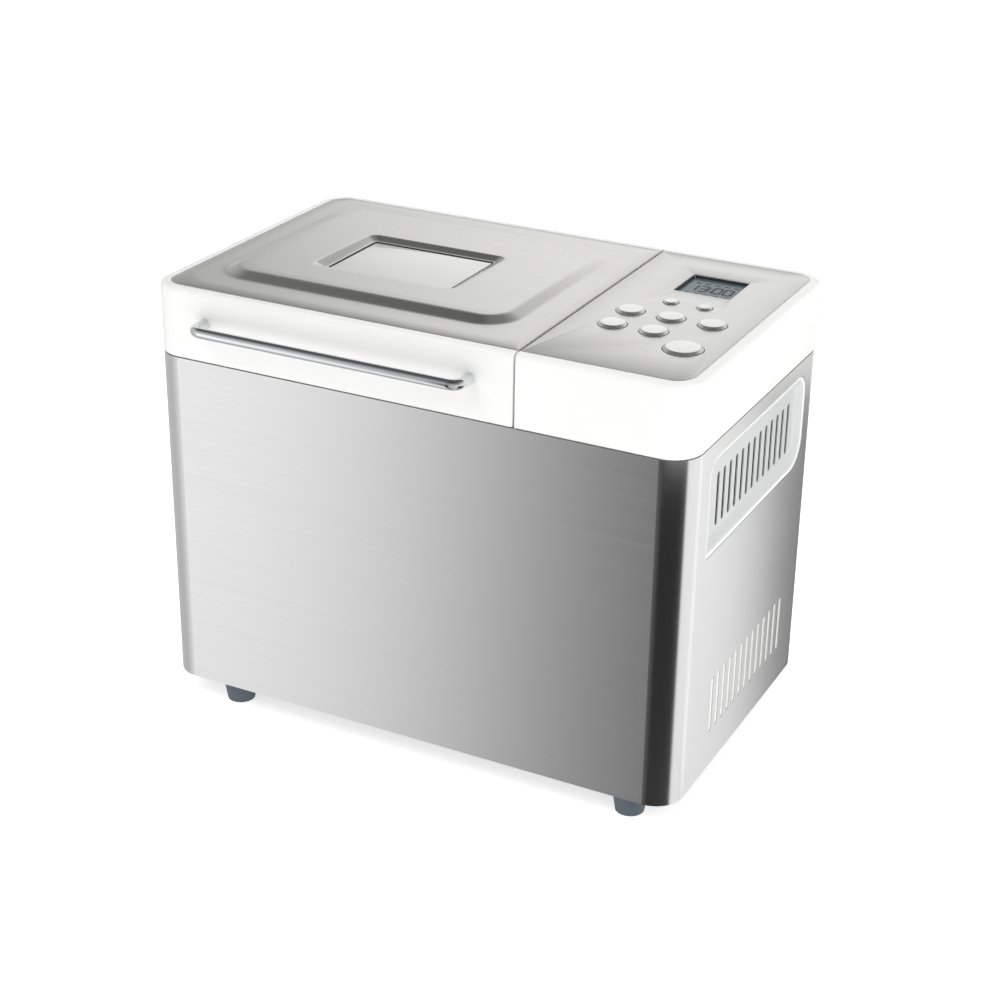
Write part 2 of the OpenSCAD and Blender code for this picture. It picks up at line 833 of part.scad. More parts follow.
module case_screws() {
    color(zinc) {
        for (x = foot_xs, y = foot_ys) translate([x, y, foot_h / 2 - 2.6]) screw(3.6, 2.5, 1.9, 20);
        for (a = [0, 120, 240]) at_oven() rotate([0, 0, a + 90])
            translate([27, 0, z_oven_floor - oven_t - 7]) screw(3.5, 2.9, 1.9, 3.5);
        for (x = [-42, 42], y = [-72, 88]) translate([panel_cx + x, y, z_board - 2.2])
            screw(3, 2.1, 1.5, 1.4);
    }
}

// ---------- lid ----------

ear_off = lug_t / 2 + 0.4;

module lid_shell() {
    z0 = z_deck + 0.6;
    color(white) difference() {
        union() {
            translate([0, 0, z0]) linear_extrude(z_roof - z0) difference() {
                lid_plan(0, 0);
                lid_plan(wall_t, wall_t);
            }
            translate([0, 0, z_roof - roof_t]) linear_extrude(roof_t) lid_plan(1, 1);
            translate([0, 0, z_roof - roof_t]) linear_extrude(roof_t + 1) difference() {
                lid_plan(0, 0);
                lid_plan(rim_w, 0.8);
            }
            // hinge ears hang from the roof
            for (x = hinge_xs, s = [-1, 1])
                translate([x + s * (ear_off + ear_t / 2) - ear_t / 2, hinge_y, 0]) {
                    translate([0, 0, hinge_axis_z]) rotate([0, 90, 0])
                        cylinder(r = lug_r, h = ear_t);
                    translate([0, -lug_r, hinge_axis_z])
                        cube([ear_t, 2 * lug_r, z_roof - roof_t - hinge_axis_z + 1]);
                }
        }
        for (x = hinge_xs) translate([x - 30, hinge_y, hinge_axis_z]) rotate([0, 90, 0])
            cylinder(r = hinge_r + 0.06, h = 60);
        // the lower back edge follows the hinge's arc
        difference() {
            translate([x_left - 1, hinge_y, z_deck - 1]) cube([lid_w + 2, 40, hinge_z + 1]);
            translate([x_left - 2, hinge_y, hinge_axis_z]) rotate([0, 90, 0])
                cylinder(r = hinge_z - 0.5, h = lid_w + 4);
        }
        // seat of the window and its seal, over a narrower light hole
        translate([win_x, win_y, z_top - glass_t - 0.2])
            rbox(glass_w + 2 * seal_w, glass_d + 2 * seal_w, 8, 3);
        translate([win_x, win_y, z_roof - 5]) rbox(glass_w - 6, glass_d - 6, 8, 3);
        // notches through which the hinge brackets reach the ears
        for (x = hinge_xs) translate([x - lug_t / 2 - 0.4, hinge_y + lug_r + 0.4, z_deck - 1])
            cube([lug_t + 0.8, 20, hinge_z + 15]);
        // screws that hold the handle
        for (x = [handle_x, handle_x + bar_l]) translate([x, y_front - 1, handle_z])
            rotate([-90, 0, 0]) cylinder(r = 2.1, h = 8);
    }
}

// The raised field: a shallow frustum whose top dips to the back, so that it fades out there
module field(shrink) {
    fl = 219 - 2 * shrink;
    fx = x_left + 24 + 219 / 2;
    fd = 176 - 2 * shrink;
    fy = y_front + 33 + 176 / 2;
    translate([fx, fy, 0]) hull() {
        translate([0, 0, z_top - 1]) rbox(fl, fd, eps, 26 - shrink, $fn = 32);
        translate([0, 0, z_top + 2 - shrink]) rotate([-1.25, 0, 0])
            rbox(fl - 22, fd - 22, eps, 18 - shrink, $fn = 32);
    }
}

module lid_top_plate() {
    color(steel) difference() {
        union() {
            translate([0, 0, z_roof]) linear_extrude(1) lid_plan(rim_w + 0.1, 0.9);
            field(0);
        }
        // sheet metal: the field is hollow behind
        translate([0, 0, -1]) intersection() {
            field(1);
            translate([x_left, y_front, z_roof + 1]) cube([case_w, case_d, 10]);
        }
        // sloping sides of the window's recess
        translate([win_x, win_y, 0]) hull() {
            translate([0, 0, z_top]) rbox(glass_w + 4, glass_d + 4, eps, 3, $fn = 32);
            translate([0, 0, z_top + field_h])
                rbox(glass_w + 2 * recess_slope, glass_d + 2 * recess_slope, eps, 5, $fn = 32);
        }
        translate([win_x, win_y, z_roof - 1])
            rbox(glass_w + 2 * seal_w + 0.2, glass_d + 2 * seal_w + 0.2, 4, 3);
    }
}

module window_seal() {
    color("#2c2d2f") translate([win_x, win_y, z_top - glass_t - 0.2])
        rtube(glass_w + 2 * seal_w - 0.1, glass_d + 2 * seal_w - 0.1, glass_t + 0.4, 3, seal_w - 0.1);
}

module window_glass() {
    color("#c9d0d2") translate([win_x, win_y, z_top - glass_t])
        rbox(glass_w - 0.1, glass_d - 0.1, glass_t, 1.3);
}

z_liner = z_roof - roof_t - 14;

// Reflector under the lid's roof: a dish with a flange against the roof
module lid_liner() {
    l = oven_l + 6;
    w = oven_w + 6;
    color(zinc) at_oven() difference() {
        union() {
            translate([0, 0, z_liner]) rtube(l, w, 14, oven_r, 1);
            translate([0, 0, z_liner]) rbox(l, w, 1, oven_r);
        }
        translate([win_x - oven_x, win_y - oven_y, z_liner - 1])
            rbox(glass_w, glass_d, 4, 4);
    }
}

module inner_glass() {
    color("#c9d0d2") translate([win_x, win_y, z_liner + 1]) rbox(glass_w + 14, glass_d + 14, 3, 4);
}

handle_x = x_left + 43;
handle_z = z_deck + 27;
handle_bend = 7;

module lid_handle() {
    b = handle_bend;
    yb = y_front - bar_reach;
    color("#c4c8cb") difference() {
        union() {
            translate([handle_x + b, yb, handle_z]) rotate([0, 90, 0])
                cylinder(r = bar_r, h = bar_l - 2 * b);
            translate([handle_x + b, yb + b, handle_z]) rotate([0, 0, 180])
                rotate_extrude(angle = 90) translate([b, 0]) circle(bar_r);
            translate([handle_x + bar_l - b, yb + b, handle_z]) rotate([0, 0, -90])
                rotate_extrude(angle = 90) translate([b, 0]) circle(bar_r);
            for (x = [handle_x, handle_x + bar_l]) translate([x, y_front, handle_z])
                rotate([90, 0, 0]) cylinder(r = bar_r, h = bar_reach - b);
        }
        for (x = [handle_x, handle_x + bar_l]) translate([x, y_front + 1, handle_z])
            rotate([90, 0, 0]) cylinder(r = 2, h = 7);
    }
}

module lid_screws() {
    color(zinc) for (x = [handle_x, handle_x + bar_l])
        translate([x, y_front + wall_t + 2.6, handle_z]) rotate([90, 0, 0])
            screw(3.8, 2.5, 2, wall_t + 5.5);
}

// ---------- pan ----------

module bread_pan() {
    color("#57595c") at_oven() difference() {
        union() {
            translate([0, 0, z_pan]) rtube(pan_l, pan_w, pan_h, pan_r, pan_t);
            translate([0, 0, z_pan]) rbox(pan_l, pan_w, pan_t, pan_r);
            translate([0, 0, z_rim - lip]) rtube(pan_l + 2 * lip, pan_w + 2 * lip, lip,
                pan_r + lip, lip + 0.5);
            // kneading ribs on the long walls
            for (s = [-1, 1]) translate([0, s * (pan_w / 2 - pan_t), z_pan + 1])
                cylinder(r = 4, h = 80);
        }
        // the ribs' outer halves
        for (s = [-1, 1]) translate([0, s * (pan_w / 2 + 5), z_pan + 40])
            cube([12, 10, 100], center = true);
        translate([0, 0, z_pan - 1]) cylinder(r = kneader_r + 3, h = 5);
    }
}

module pan_base_ring() {
    color("#a7abad") at_oven() {
        translate([0, 0, z_ring]) ring(ring_r, ring_r - 3, z_pan - z_ring);
        translate([0, 0, z_pan - 1.6]) ring(ring_r + 12, ring_r - 1, 1.6);
        for (a = [0 : 90 : 270]) rotate([0, 0, a + 45])
            translate([0, 0, z_ring + 0.4]) ring_tab(ring_r - 1, ring_r + lug_reach, lug_a, lug_h);
    }
}

// Plates on the pan's ends that carry the bail
module pan_ears() {
    color("#a7abad") at_oven() for (m = [0, 1]) mirror([m, 0, 0]) difference() {
        union() {
            translate([ear_x, -8, z_rim - 12]) cube([2, 16, bail_z - z_rim + 12]);
            translate([ear_x, 0, bail_z]) rotate([0, 90, 0]) cylinder(r = 8, h = 2);
            translate([pan_l / 2, -8, z_rim - 12]) cube([lip + 1, 16, 2]);
        }
        translate([ear_x - 1, 0, bail_z]) rotate([0, 90, 0]) cylinder(r = bail_r + run_gap, h = 5);
    }
}

// The bail, drawn lying to the back from an axis at the origin
module bail() {
    b = bail_bend;
    for (m = [0, 1]) mirror([m, 0, 0]) {
        translate([bail_x + 3, 0, 0]) rotate([0, 90, 0]) cylinder(r = bail_r, h = 8);
        translate([bail_x + 3, 3, 0]) rotate([0, 0, 180]) rotate_extrude(angle = 90)
            translate([3, 0]) circle(bail_r);
        translate([bail_x, 3, 0]) rotate([-90, 0, 0]) cylinder(r = bail_r, h = bail_arm - 3 - b);
        translate([bail_x - b, bail_arm - b, 0]) rotate_extrude(angle = 90)
            translate([b, 0]) circle(bail_r);
    }
    translate([-bail_x + b, bail_arm, 0]) rotate([0, 90, 0])
        cylinder(r = bail_r, h = 2 * (bail_x - b));
}

module pan_handle() {
    color("#b4b7ba") at_oven() translate([0, 0, bail_z]) rotate([-rest_tilt, 0, 0]) bail();
}

bush_top = z_pan + 12;

// Threaded bush through the pan's floor, with its nut below
module pan_bush() {
    color("#a9823c") at_oven() difference() {
        union() {
            translate([0, 0, z_pan - 5]) cylinder(r = kneader_r + 3, h = 17);
            translate([0, 0, z_pan + pan_t]) cylinder(r = 11, h = 2);
            translate([0, 0, z_pan - 4]) cylinder(r = 11, h = 4, $fn = 6);
        }
        translate([0, 0, z_pan - 6]) cylinder(r = kneader_r + run_gap, h = 30);
        translate([0, 0, bush_top - 4]) cylinder(r = kneader_r + 2, h = 5);
    }
}

module shaft_seal() {
    color("#8c2f22") at_oven() translate([0, 0, bush_top - 4])
        ring(kneader_r + 2, kneader_r + run_gap, 3.8);
}

shaft_top = bush_top + 17;

module kneader_shaft() {
    color(steel) at_oven() difference() {
        translate([0, 0, coupler_z + 5.4]) cylinder(r = kneader_r, h = shaft_top - coupler_z - 5.4);
        translate([kneader_r - 1.2, -5, bush_top + 0.2]) cube([5, 10, 30]);
    }
}

// Hub with a D-shaped bore, and a swept fin
module kneading_paddle() {
    color("#4b4d50") at_oven() translate([0, 0, bush_top + 0.2]) difference() {
        union() {
            cylinder(r1 = 10, r2 = 7.5, h = 22);
            translate([0, 2.5, 0]) rotate([90, 0, 0]) linear_extrude(5) polygon([
                [0, 0], [44, 0], [46, 2], [46, 9],
                for (t = [0 : 10 : 90]) [16 + 28 * cos(t), 10 + 26 * sin(t)],
                [0, 36], [-6, 30], [-6, 4]]);
        }
        difference() {
            translate([0, 0, -1]) cylinder(r = kneader_r + 0.05, h = 18.1);
            translate([kneader_r - 1.15, -5, -2]) cube([5, 10, 30]);
        }
    }
}

base_plate();
feet();
steel_wrap();
rear_panel();
cord_gland();
upper_housing();
top_frame();
control_fascia();
lcd_lens();
control_board();
side_vent_grille();
lower_vent_liner();
oven_liner();
heating_element();
temperature_sensor();
thermal_fuse();
pan_lock_ring();
bearing_housing();
drive_bushes();
drive_belt();
motor_bracket();
motor_stator();
motor_windings();
motor_end_frames();
run_capacitor();
power_board();
hinge_brackets();
hinge_pins();
case_screws();
lid_shell();
lid_top_plate();
window_seal();
window_glass();
lid_liner();
inner_glass();
lid_handle();
lid_screws();
bread_pan();
pan_base_ring();
pan_ears();
pan_bush();
shaft_seal();
pan_handle();
kneader_shaft();
kneading_paddle();
pan_coupler();
drive_shaft();
drive_coupler();
driven_pulley();
motor_rotor();
motor_pulley();
cooling_fan();
button(BUTTONS[0]);  // button_menu
button(BUTTONS[1]);  // button_size
button(BUTTONS[2]);  // button_crust
button(BUTTONS[3]);  // button_rapid
button(BUTTONS[4]);  // button_light
button(BUTTONS[5]);  // button_timer_up
button(BUTTONS[6]);  // button_timer_down
button(BUTTONS[7]);  // button_start_stop
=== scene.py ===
import json
import math
from math import cos, pi, radians, sin

import bmesh
import bpy
from mathutils import Matrix, Vector

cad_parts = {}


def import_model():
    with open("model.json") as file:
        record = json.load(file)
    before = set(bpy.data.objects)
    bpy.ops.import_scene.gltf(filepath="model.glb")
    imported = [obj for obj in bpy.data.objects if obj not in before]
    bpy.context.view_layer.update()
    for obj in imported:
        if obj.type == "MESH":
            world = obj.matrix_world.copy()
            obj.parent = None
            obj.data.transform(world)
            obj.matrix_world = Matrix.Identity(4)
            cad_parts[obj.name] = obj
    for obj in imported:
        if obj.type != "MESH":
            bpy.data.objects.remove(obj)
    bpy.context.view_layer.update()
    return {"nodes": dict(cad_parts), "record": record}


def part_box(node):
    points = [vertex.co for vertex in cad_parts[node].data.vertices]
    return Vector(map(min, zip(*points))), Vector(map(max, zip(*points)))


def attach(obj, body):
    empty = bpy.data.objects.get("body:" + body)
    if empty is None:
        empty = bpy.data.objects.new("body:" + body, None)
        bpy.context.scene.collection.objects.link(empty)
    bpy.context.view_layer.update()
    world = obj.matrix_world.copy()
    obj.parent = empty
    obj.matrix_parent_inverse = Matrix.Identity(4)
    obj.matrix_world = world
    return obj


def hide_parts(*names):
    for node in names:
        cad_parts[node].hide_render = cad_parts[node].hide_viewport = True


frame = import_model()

nodes = frame["nodes"]
scene = bpy.context.scene
MM = 0.001

# ---------- camera ----------

CAMERA_AT = (0.5784, -1.11825, 0.7348)      # metres
CAMERA_YAW = 26.83                          # degrees, counter-clockwise from +Y
CAMERA_PITCH = 25.05                        # degrees below the horizon
CAMERA_ROLL = 0.85
LENS_MM, SENSOR_MM = 73.45, 36


def make_camera():
    yaw, pitch, roll = radians(CAMERA_YAW), radians(CAMERA_PITCH), radians(CAMERA_ROLL)
    forward = Vector((-sin(yaw) * cos(pitch), cos(yaw) * cos(pitch), -sin(pitch)))
    level = Vector((cos(yaw), sin(yaw), 0))
    upright = level.cross(forward)
    right = level * cos(roll) + upright * sin(roll)
    up = upright * cos(roll) - level * sin(roll)
    data = bpy.data.cameras.new("camera")
    data.lens, data.sensor_width = LENS_MM, SENSOR_MM
    data.clip_start, data.clip_end = 0.01, 100
    cam = bpy.data.objects.new("camera", data)
    pose = Matrix((right, up, -forward)).transposed().to_4x4()
    pose.translation = CAMERA_AT
    cam.matrix_world = pose
    scene.collection.objects.link(cam)
    scene.camera = cam


make_camera()

# ---------- key positions, in mm, from the CAD ----------


def box(node):
    lo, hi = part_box(node)
    return [v / MM for v in lo], [v / MM for v in hi]


def plan(node):
    """A node's box seen from above: x0, y0, x1, y1."""
    lo, hi = box(node)
    return lo[0], lo[1], hi[0], hi[1]


def shrink(rect, d):
    return rect[0] + d, rect[1] + d, rect[2] - d, rect[3] - d


CASE = plan("steel_wrap")
X0, Y0, X1, Y1 = CASE
Z_DECK = box("steel_wrap")[1][2]
Z_TOP = box("control_fascia")[1][2]
Z_PEAK = box("lid_top_plate")[1][2]
X_SEAM = box("lid_shell")[1][0]
X_PANEL = X_SEAM + 1.2                      # the gap beside the lid
LID = (X0, Y0, X_SEAM, Y1)
PANEL = (X_PANEL, Y0, X1, Y1)
GLASS = plan("window_glass")
SEAL = plan("window_seal")
DISPLAY = plan("lcd_lens")
PINS = box("hinge_pins")
HINGE_Y = (PINS[0][1] + PINS[1][1]) / 2
HINGE_Z = (PINS[0][2] + PINS[1][2]) / 2
R_CASE = 20         # corner radius of the case
WALL, ROOF = 2.6, 3.6                       # thickness of the white band's walls and roof
RIM = 6.8           # width of the white rim around the steel plates
SEAM_LIP = 0.22     # width of the white edge beside the seam
GROOVE = 0.3        # gap between the rim and a plate
SHARP = 32          # degrees; a sharper edge isn't shaded smooth

BUTTONS = {}        # name: middle, radius at the plate, height of the face
for name in nodes:
    if name.startswith("button_"):
        lo, hi = box(name)
        BUTTONS[name] = ((lo[0] + hi[0]) / 2, (lo[1] + hi[1]) / 2, (hi[0] - lo[0]) / 2 - 1.2, hi[2])

# ---------- mesh tools (lengths in mm) ----------


def outline(rect, radii, n=10, m=0):
    """Counter-clockwise rounded rectangle; radii go front-left, front-right, back-right, back-left."""
    x0, y0, x1, y1 = rect
    corners = ((x0, y0, 1, 1, 180), (x1, y0, -1, 1, 270), (x1, y1, -1, -1, 0), (x0, y1, 1, -1, 90))
    arcs = []
    for (cx, cy, sx, sy, a0), r in zip(corners, radii):
        arcs.append([(cx + sx * r + r * cos(radians(a0 + 90 * i / n)),
                      cy + sy * r + r * sin(radians(a0 + 90 * i / n))) for i in range(n + 1)])
    pts = []
    for k, arc in enumerate(arcs):
        pts += arc
        ax, ay = arc[-1]
        bx, by = arcs[(k + 1) % 4][0]
        pts += [(ax + (bx - ax) * i / (m + 1), ay + (by - ay) * i / (m + 1)) for i in range(1, m + 1)]
    return pts


def at(points, z):
    return [(x, y, z(x, y) if callable(z) else z) for x, y in points]


def obj_from(name, verts, faces, angle=SHARP, scale=MM):
    me = bpy.data.meshes.new(name)
    me.from_pydata([tuple(c * scale for c in v) for v in verts], [], faces)
    bm = bmesh.new()
    bm.from_mesh(me)
    bmesh.ops.remove_doubles(bm, verts=bm.verts, dist=1e-7)
    bmesh.ops.recalc_face_normals(bm, faces=bm.faces)
    bm.to_mesh(me)
    bm.free()
    me.shade_smooth()
    me.set_sharp_from_angle(angle=radians(angle))
    o = bpy.data.objects.new(name, me)
    scene.collection.objects.link(o)
    return o


def loft_data(rings, close, caps):
    n, k = len(rings[0]), len(rings)
    verts = [p for r in rings for p in r]
    faces = []
    for i in range(k if close else k - 1):
        a, b = i * n, ((i + 1) % k) * n
        faces += [(a + j, a + (j + 1) % n, b + (j + 1) % n, b + j) for j in range(n)]
    if caps:
        faces += [tuple(range(n))[::-1], tuple((k - 1) * n + j for j in range(n))]
    return verts, faces


def loft(name, rings, close=True, caps=False, angle=SHARP):
    """A skin over rings of points: closed back to the first ring, or open, or with its ends capped."""
    return obj_from(name, *loft_data(rings, close, caps), angle=angle)


def revolve(name, profile, centre, n):
    """A profile of (radius, height) turned about an upright axis."""
    rings = [[(centre[0] + r * cos(2 * pi * j / n), centre[1] + r * sin(2 * pi * j / n), z)
              for j in range(n)] for r, z in profile]
    return loft(name, rings, close=False, caps=True)


def rounded_bar(name, lo, hi, r, bevel=0.4, axis="z"):
    """A block with round corners about one axis and small bevelled ends."""
    def turn(p):
        x, y, z = p
        return {"z": (x, y, z), "y": (x, z, y), "x": (z, x, y)}[axis]
    order = {"z": (0, 1, 2), "y": (0, 2, 1), "x": (1, 2, 0)}[axis]
    a = [lo[i] for i in order]
    b = [hi[i] for i in order]
    rings = []
    for d, z in ((bevel, a[2]), (0, a[2] + bevel), (0, b[2] - bevel), (bevel, b[2])):
        ring = outline(shrink((a[0], a[1], b[0], b[1]), d), [max(r - d, 0.05)] * 4, 6)
        rings.append([turn(p) for p in at(ring, z)])
    return loft(name, rings, close=False, caps=True)


def tube(name, path, r, n):
    """A round bar along a path of points, with flat ends."""
    pts = [Vector(p) for p in path]
    rings = []
    side = Vector((0, 0, 1))
    for i, p in enumerate(pts):
        t = (pts[min(i + 1, len(pts) - 1)] - pts[max(i - 1, 0)]).normalized()
        u = t.cross(side).normalized()
        w = u.cross(t)
        rings.append([tuple(p + (u * cos(2 * pi * j / n) + w * sin(2 * pi * j / n)) * r)
                      for j in range(n)])
    return loft(name, rings, close=False, caps=True)


def join(name, parts):
    """Puts all parts' meshes into the first one."""
    for o in parts[1:]:
        bm = bmesh.new()
        bm.from_mesh(parts[0].data)
        bm.from_mesh(o.data)
        bm.to_mesh(parts[0].data)
        bm.free()
        bpy.data.objects.remove(o)
    parts[0].name = name
    return parts[0]


def carve(obj, cutters):
    """Subtracts the cutters from obj and removes them."""
    for c in cutters:
        mod = obj.modifiers.new("cut", "BOOLEAN")
        mod.object, mod.operation, mod.solver = c, "DIFFERENCE", "EXACT"
    dg = bpy.context.evaluated_depsgraph_get()
    me = bpy.data.meshes.new_from_object(obj.evaluated_get(dg))
    obj.modifiers.clear()
    obj.data = me
    for c in cutters:
        bpy.data.objects.remove(c)
    me.shade_smooth()
    me.set_sharp_from_angle(angle=radians(SHARP))
    return obj


def prism_x(name, profile, x0, x1):
    """A (y, z) outline extruded along X."""
    n = len(profile)
    verts = [(x, y, z) for x in (x0, x1) for y, z in profile]
    faces = [tuple(range(n)), tuple(range(n, 2 * n))[::-1]]
    faces += [(j, (j + 1) % n, n + (j + 1) % n, n + j) for j in range(n)]
    return obj_from(name, verts, faces)


def disc_cutter(x, y, r, z0, z1):
    return revolve("cutter", [(r, z0), (r, z1)], (x, y), 48)


# ---------- materials ----------


class Graph:
    """A material's nodes around one Principled shader."""

    def __init__(self, name):
        self.mat = bpy.data.materials.new(name)
        self.mat.use_nodes = True
        self.tree = self.mat.node_tree
        self.nodes = self.tree.nodes
        self.bsdf = self.nodes["Principled BSDF"]
        self.coord = self.nodes.new("ShaderNodeTexCoord")

    def link(self, a, b):
        self.tree.links.new(a, b)

    def scaled(self, scale):
        n = self.nodes.new("ShaderNodeMapping")
        n.inputs["Scale"].default_value = scale
        self.link(self.coord.outputs["Object"], n.inputs["Vector"])
        return n.outputs["Vector"]

    def noise(self, scale, detail=3, rough=0.5):
        n = self.nodes.new("ShaderNodeTexNoise")
        n.inputs["Scale"].default_value = 1
        n.inputs["Detail"].default_value = detail
        n.inputs["Roughness"].default_value = rough
        self.link(self.scaled(scale), n.inputs["Vector"])
        return n.outputs["Fac"]

    def spread(self, value, low, high, out_low, out_high):
        n = self.nodes.new("ShaderNodeMapRange")
        n.inputs["From Min"].default_value, n.inputs["From Max"].default_value = low, high
        n.inputs["To Min"].default_value, n.inputs["To Max"].default_value = out_low, out_high
        self.link(value, n.inputs["Value"])
        return n.outputs["Result"]

    def tint(self, value, c0, c1, low=0.3, high=0.7):
        n = self.nodes.new("ShaderNodeValToRGB")
        n.color_ramp.elements[0].position, n.color_ramp.elements[1].position = low, high
        n.color_ramp.elements[0].color = (*c0, 1)
        n.color_ramp.elements[1].color = (*c1, 1)
        self.link(value, n.inputs["Fac"])
        return n.outputs["Color"]

    def bump(self, value, strength, distance, onto=None):
        n = self.nodes.new("ShaderNodeBump")
        n.inputs["Strength"].default_value = strength
        n.inputs["Distance"].default_value = distance
        self.link(value, n.inputs["Height"])
        if onto is not None:
            self.link(onto, n.inputs["Normal"])
        return n.outputs["Normal"]

    def set(self, **kw):
        names = {"metallic": "Metallic", "coat": "Coat Weight", "coat_rough": "Coat Roughness",
                 "alpha": "Alpha", "anisotropic": "Anisotropic", "rotation": "Anisotropic Rotation"}
        for k, v in kw.items():
            self.bsdf.inputs[names[k]].default_value = v


def shade(c, k):
    return tuple(min(1, v * k) for v in c)


def brushed(name, color, grain, rough, depth, round_case=False, contrast=0.03, **kw):
    """Metal with long fine scratches: grain is their scale along X, Y and Z, depth is in metres."""
    g = Graph(name)
    fine = g.noise(grain, 3, 0.6)
    wear = g.noise([v * 0.3 for v in grain], 2)
    g.link(g.tint(fine, shade(color, 1 - contrast), shade(color, 1 + contrast / 2)),
           g.bsdf.inputs["Base Color"])
    g.link(g.spread(wear, 0.3, 0.7, *rough), g.bsdf.inputs["Roughness"])
    g.link(g.bump(fine, 0.2, depth), g.bsdf.inputs["Normal"])
    if round_case:
        t = g.nodes.new("ShaderNodeTangent")
        t.direction_type, t.axis = "RADIAL", "Z"
        g.link(t.outputs["Tangent"], g.bsdf.inputs["Tangent"])
    g.set(metallic=1.0, **kw)
    return g


def moulded(name, color, rough=(0.3, 0.4), grain=0.0, grain_scale=1500, vary=0.03, **kw):
    """Plastic: slight mottling in colour and gloss, and an optional eroded grain."""
    g = Graph(name)
    cloud = g.noise([22] * 3, 4)
    g.link(g.tint(cloud, shade(color, 1 - vary), shade(color, 1 + vary * 0.4)), g.bsdf.inputs["Base Color"])
    g.link(g.spread(g.noise([60] * 3, 3), 0.3, 0.7, *rough), g.bsdf.inputs["Roughness"])
    wave = g.bump(g.noise([30] * 3, 2), 0.06, 0.0004)
    if grain:
        wave = g.bump(g.noise([grain_scale] * 3, 3), grain, 0.00008, wave)
    g.link(wave, g.bsdf.inputs["Normal"])
    g.set(**kw)
    return g


def cast(name, color, rough=(0.4, 0.6), grain=0.3, scale=900, metallic=1.0, vary=0.12, **kw):
    """Blasted, coated or rolled metal."""
    g = Graph(name)
    mottle = g.noise([45] * 3, 5, 0.6)
    g.link(g.tint(mottle, shade(color, 1 - vary), shade(color, 1 + vary)), g.bsdf.inputs["Base Color"])
    g.link(g.spread(g.noise([130] * 3, 3), 0.3, 0.7, *rough), g.bsdf.inputs["Roughness"])
    g.link(g.bump(g.noise([scale] * 3, 2), grain, 0.0001), g.bsdf.inputs["Normal"])
    g.set(metallic=metallic, **kw)
    return g


def galvanised():
    """Zinc-coated sheet with a faint pattern of crystals."""
    g = Graph("galvanised_sheet")
    cells = g.nodes.new("ShaderNodeTexVoronoi")
    cells.inputs["Scale"].default_value = 150
    g.link(g.coord.outputs["Object"], cells.inputs["Vector"])
    g.link(g.tint(cells.outputs["Distance"], (0.61, 0.63, 0.64), (0.66, 0.68, 0.69), 0.1, 0.8),
           g.bsdf.inputs["Base Color"])
    g.link(g.spread(cells.outputs["Distance"], 0, 0.8, 0.4, 0.45), g.bsdf.inputs["Roughness"])
    g.link(g.bump(g.noise([400] * 3, 3), 0.15, 0.0001), g.bsdf.inputs["Normal"])
    g.set(metallic=1.0)
    return g


def laminated():
    """The stacked sheets of a motor's core."""
    g = Graph("laminated_steel")
    wave = g.nodes.new("ShaderNodeTexWave")
    wave.bands_direction = "Z"
    wave.inputs["Scale"].default_value = 320
    wave.inputs["Distortion"].default_value = 0.4
    g.link(g.coord.outputs["Object"], wave.inputs["Vector"])
    g.link(g.tint(wave.outputs["Fac"], (0.12, 0.13, 0.14), (0.34, 0.36, 0.38)), g.bsdf.inputs["Base Color"])
    g.link(g.bump(wave.outputs["Fac"], 0.5, 0.0002), g.bsdf.inputs["Normal"])
    g.link(g.spread(g.noise([200] * 3), 0.3, 0.7, 0.4, 0.6), g.bsdf.inputs["Roughness"])
    g.set(metallic=1.0)
    return g


def wound():
    """Turns of enamelled copper wire."""
    g = Graph("copper_winding")
    wave = g.nodes.new("ShaderNodeTexWave")
    wave.wave_type = "RINGS"
    wave.inputs["Scale"].default_value = 260
    wave.inputs["Distortion"].default_value = 1.5
    g.link(g.coord.outputs["Object"], wave.inputs["Vector"])
    g.link(g.tint(wave.outputs["Fac"], (0.28, 0.09, 0.03), (0.75, 0.36, 0.15)), g.bsdf.inputs["Base Color"])
    g.link(g.bump(wave.outputs["Fac"], 0.8, 0.0004), g.bsdf.inputs["Normal"])
    g.link(g.spread(g.noise([150] * 3), 0.3, 0.7, 0.25, 0.4), g.bsdf.inputs["Roughness"])
    g.set(metallic=0.9)
    return g


def circuit():
    """Green circuit board with lighter tracks."""
    g = Graph("circuit_board")
    brick = g.nodes.new("ShaderNodeTexBrick")
    brick.inputs["Scale"].default_value = 160
    brick.inputs["Mortar Size"].default_value = 0.04
    brick.inputs["Color1"].default_value = (0.03, 0.2, 0.08, 1)
    brick.inputs["Color2"].default_value = (0.04, 0.25, 0.1, 1)
    brick.inputs["Mortar"].default_value = (0.12, 0.42, 0.2, 1)
    g.link(g.coord.outputs["Object"], brick.inputs["Vector"])
    g.link(brick.outputs["Color"], g.bsdf.inputs["Base Color"])
    g.link(g.bump(brick.outputs["Fac"], 0.3, 0.0001), g.bsdf.inputs["Normal"])
    g.link(g.spread(g.noise([90] * 3), 0.3, 0.7, 0.25, 0.4), g.bsdf.inputs["Roughness"])
    return g


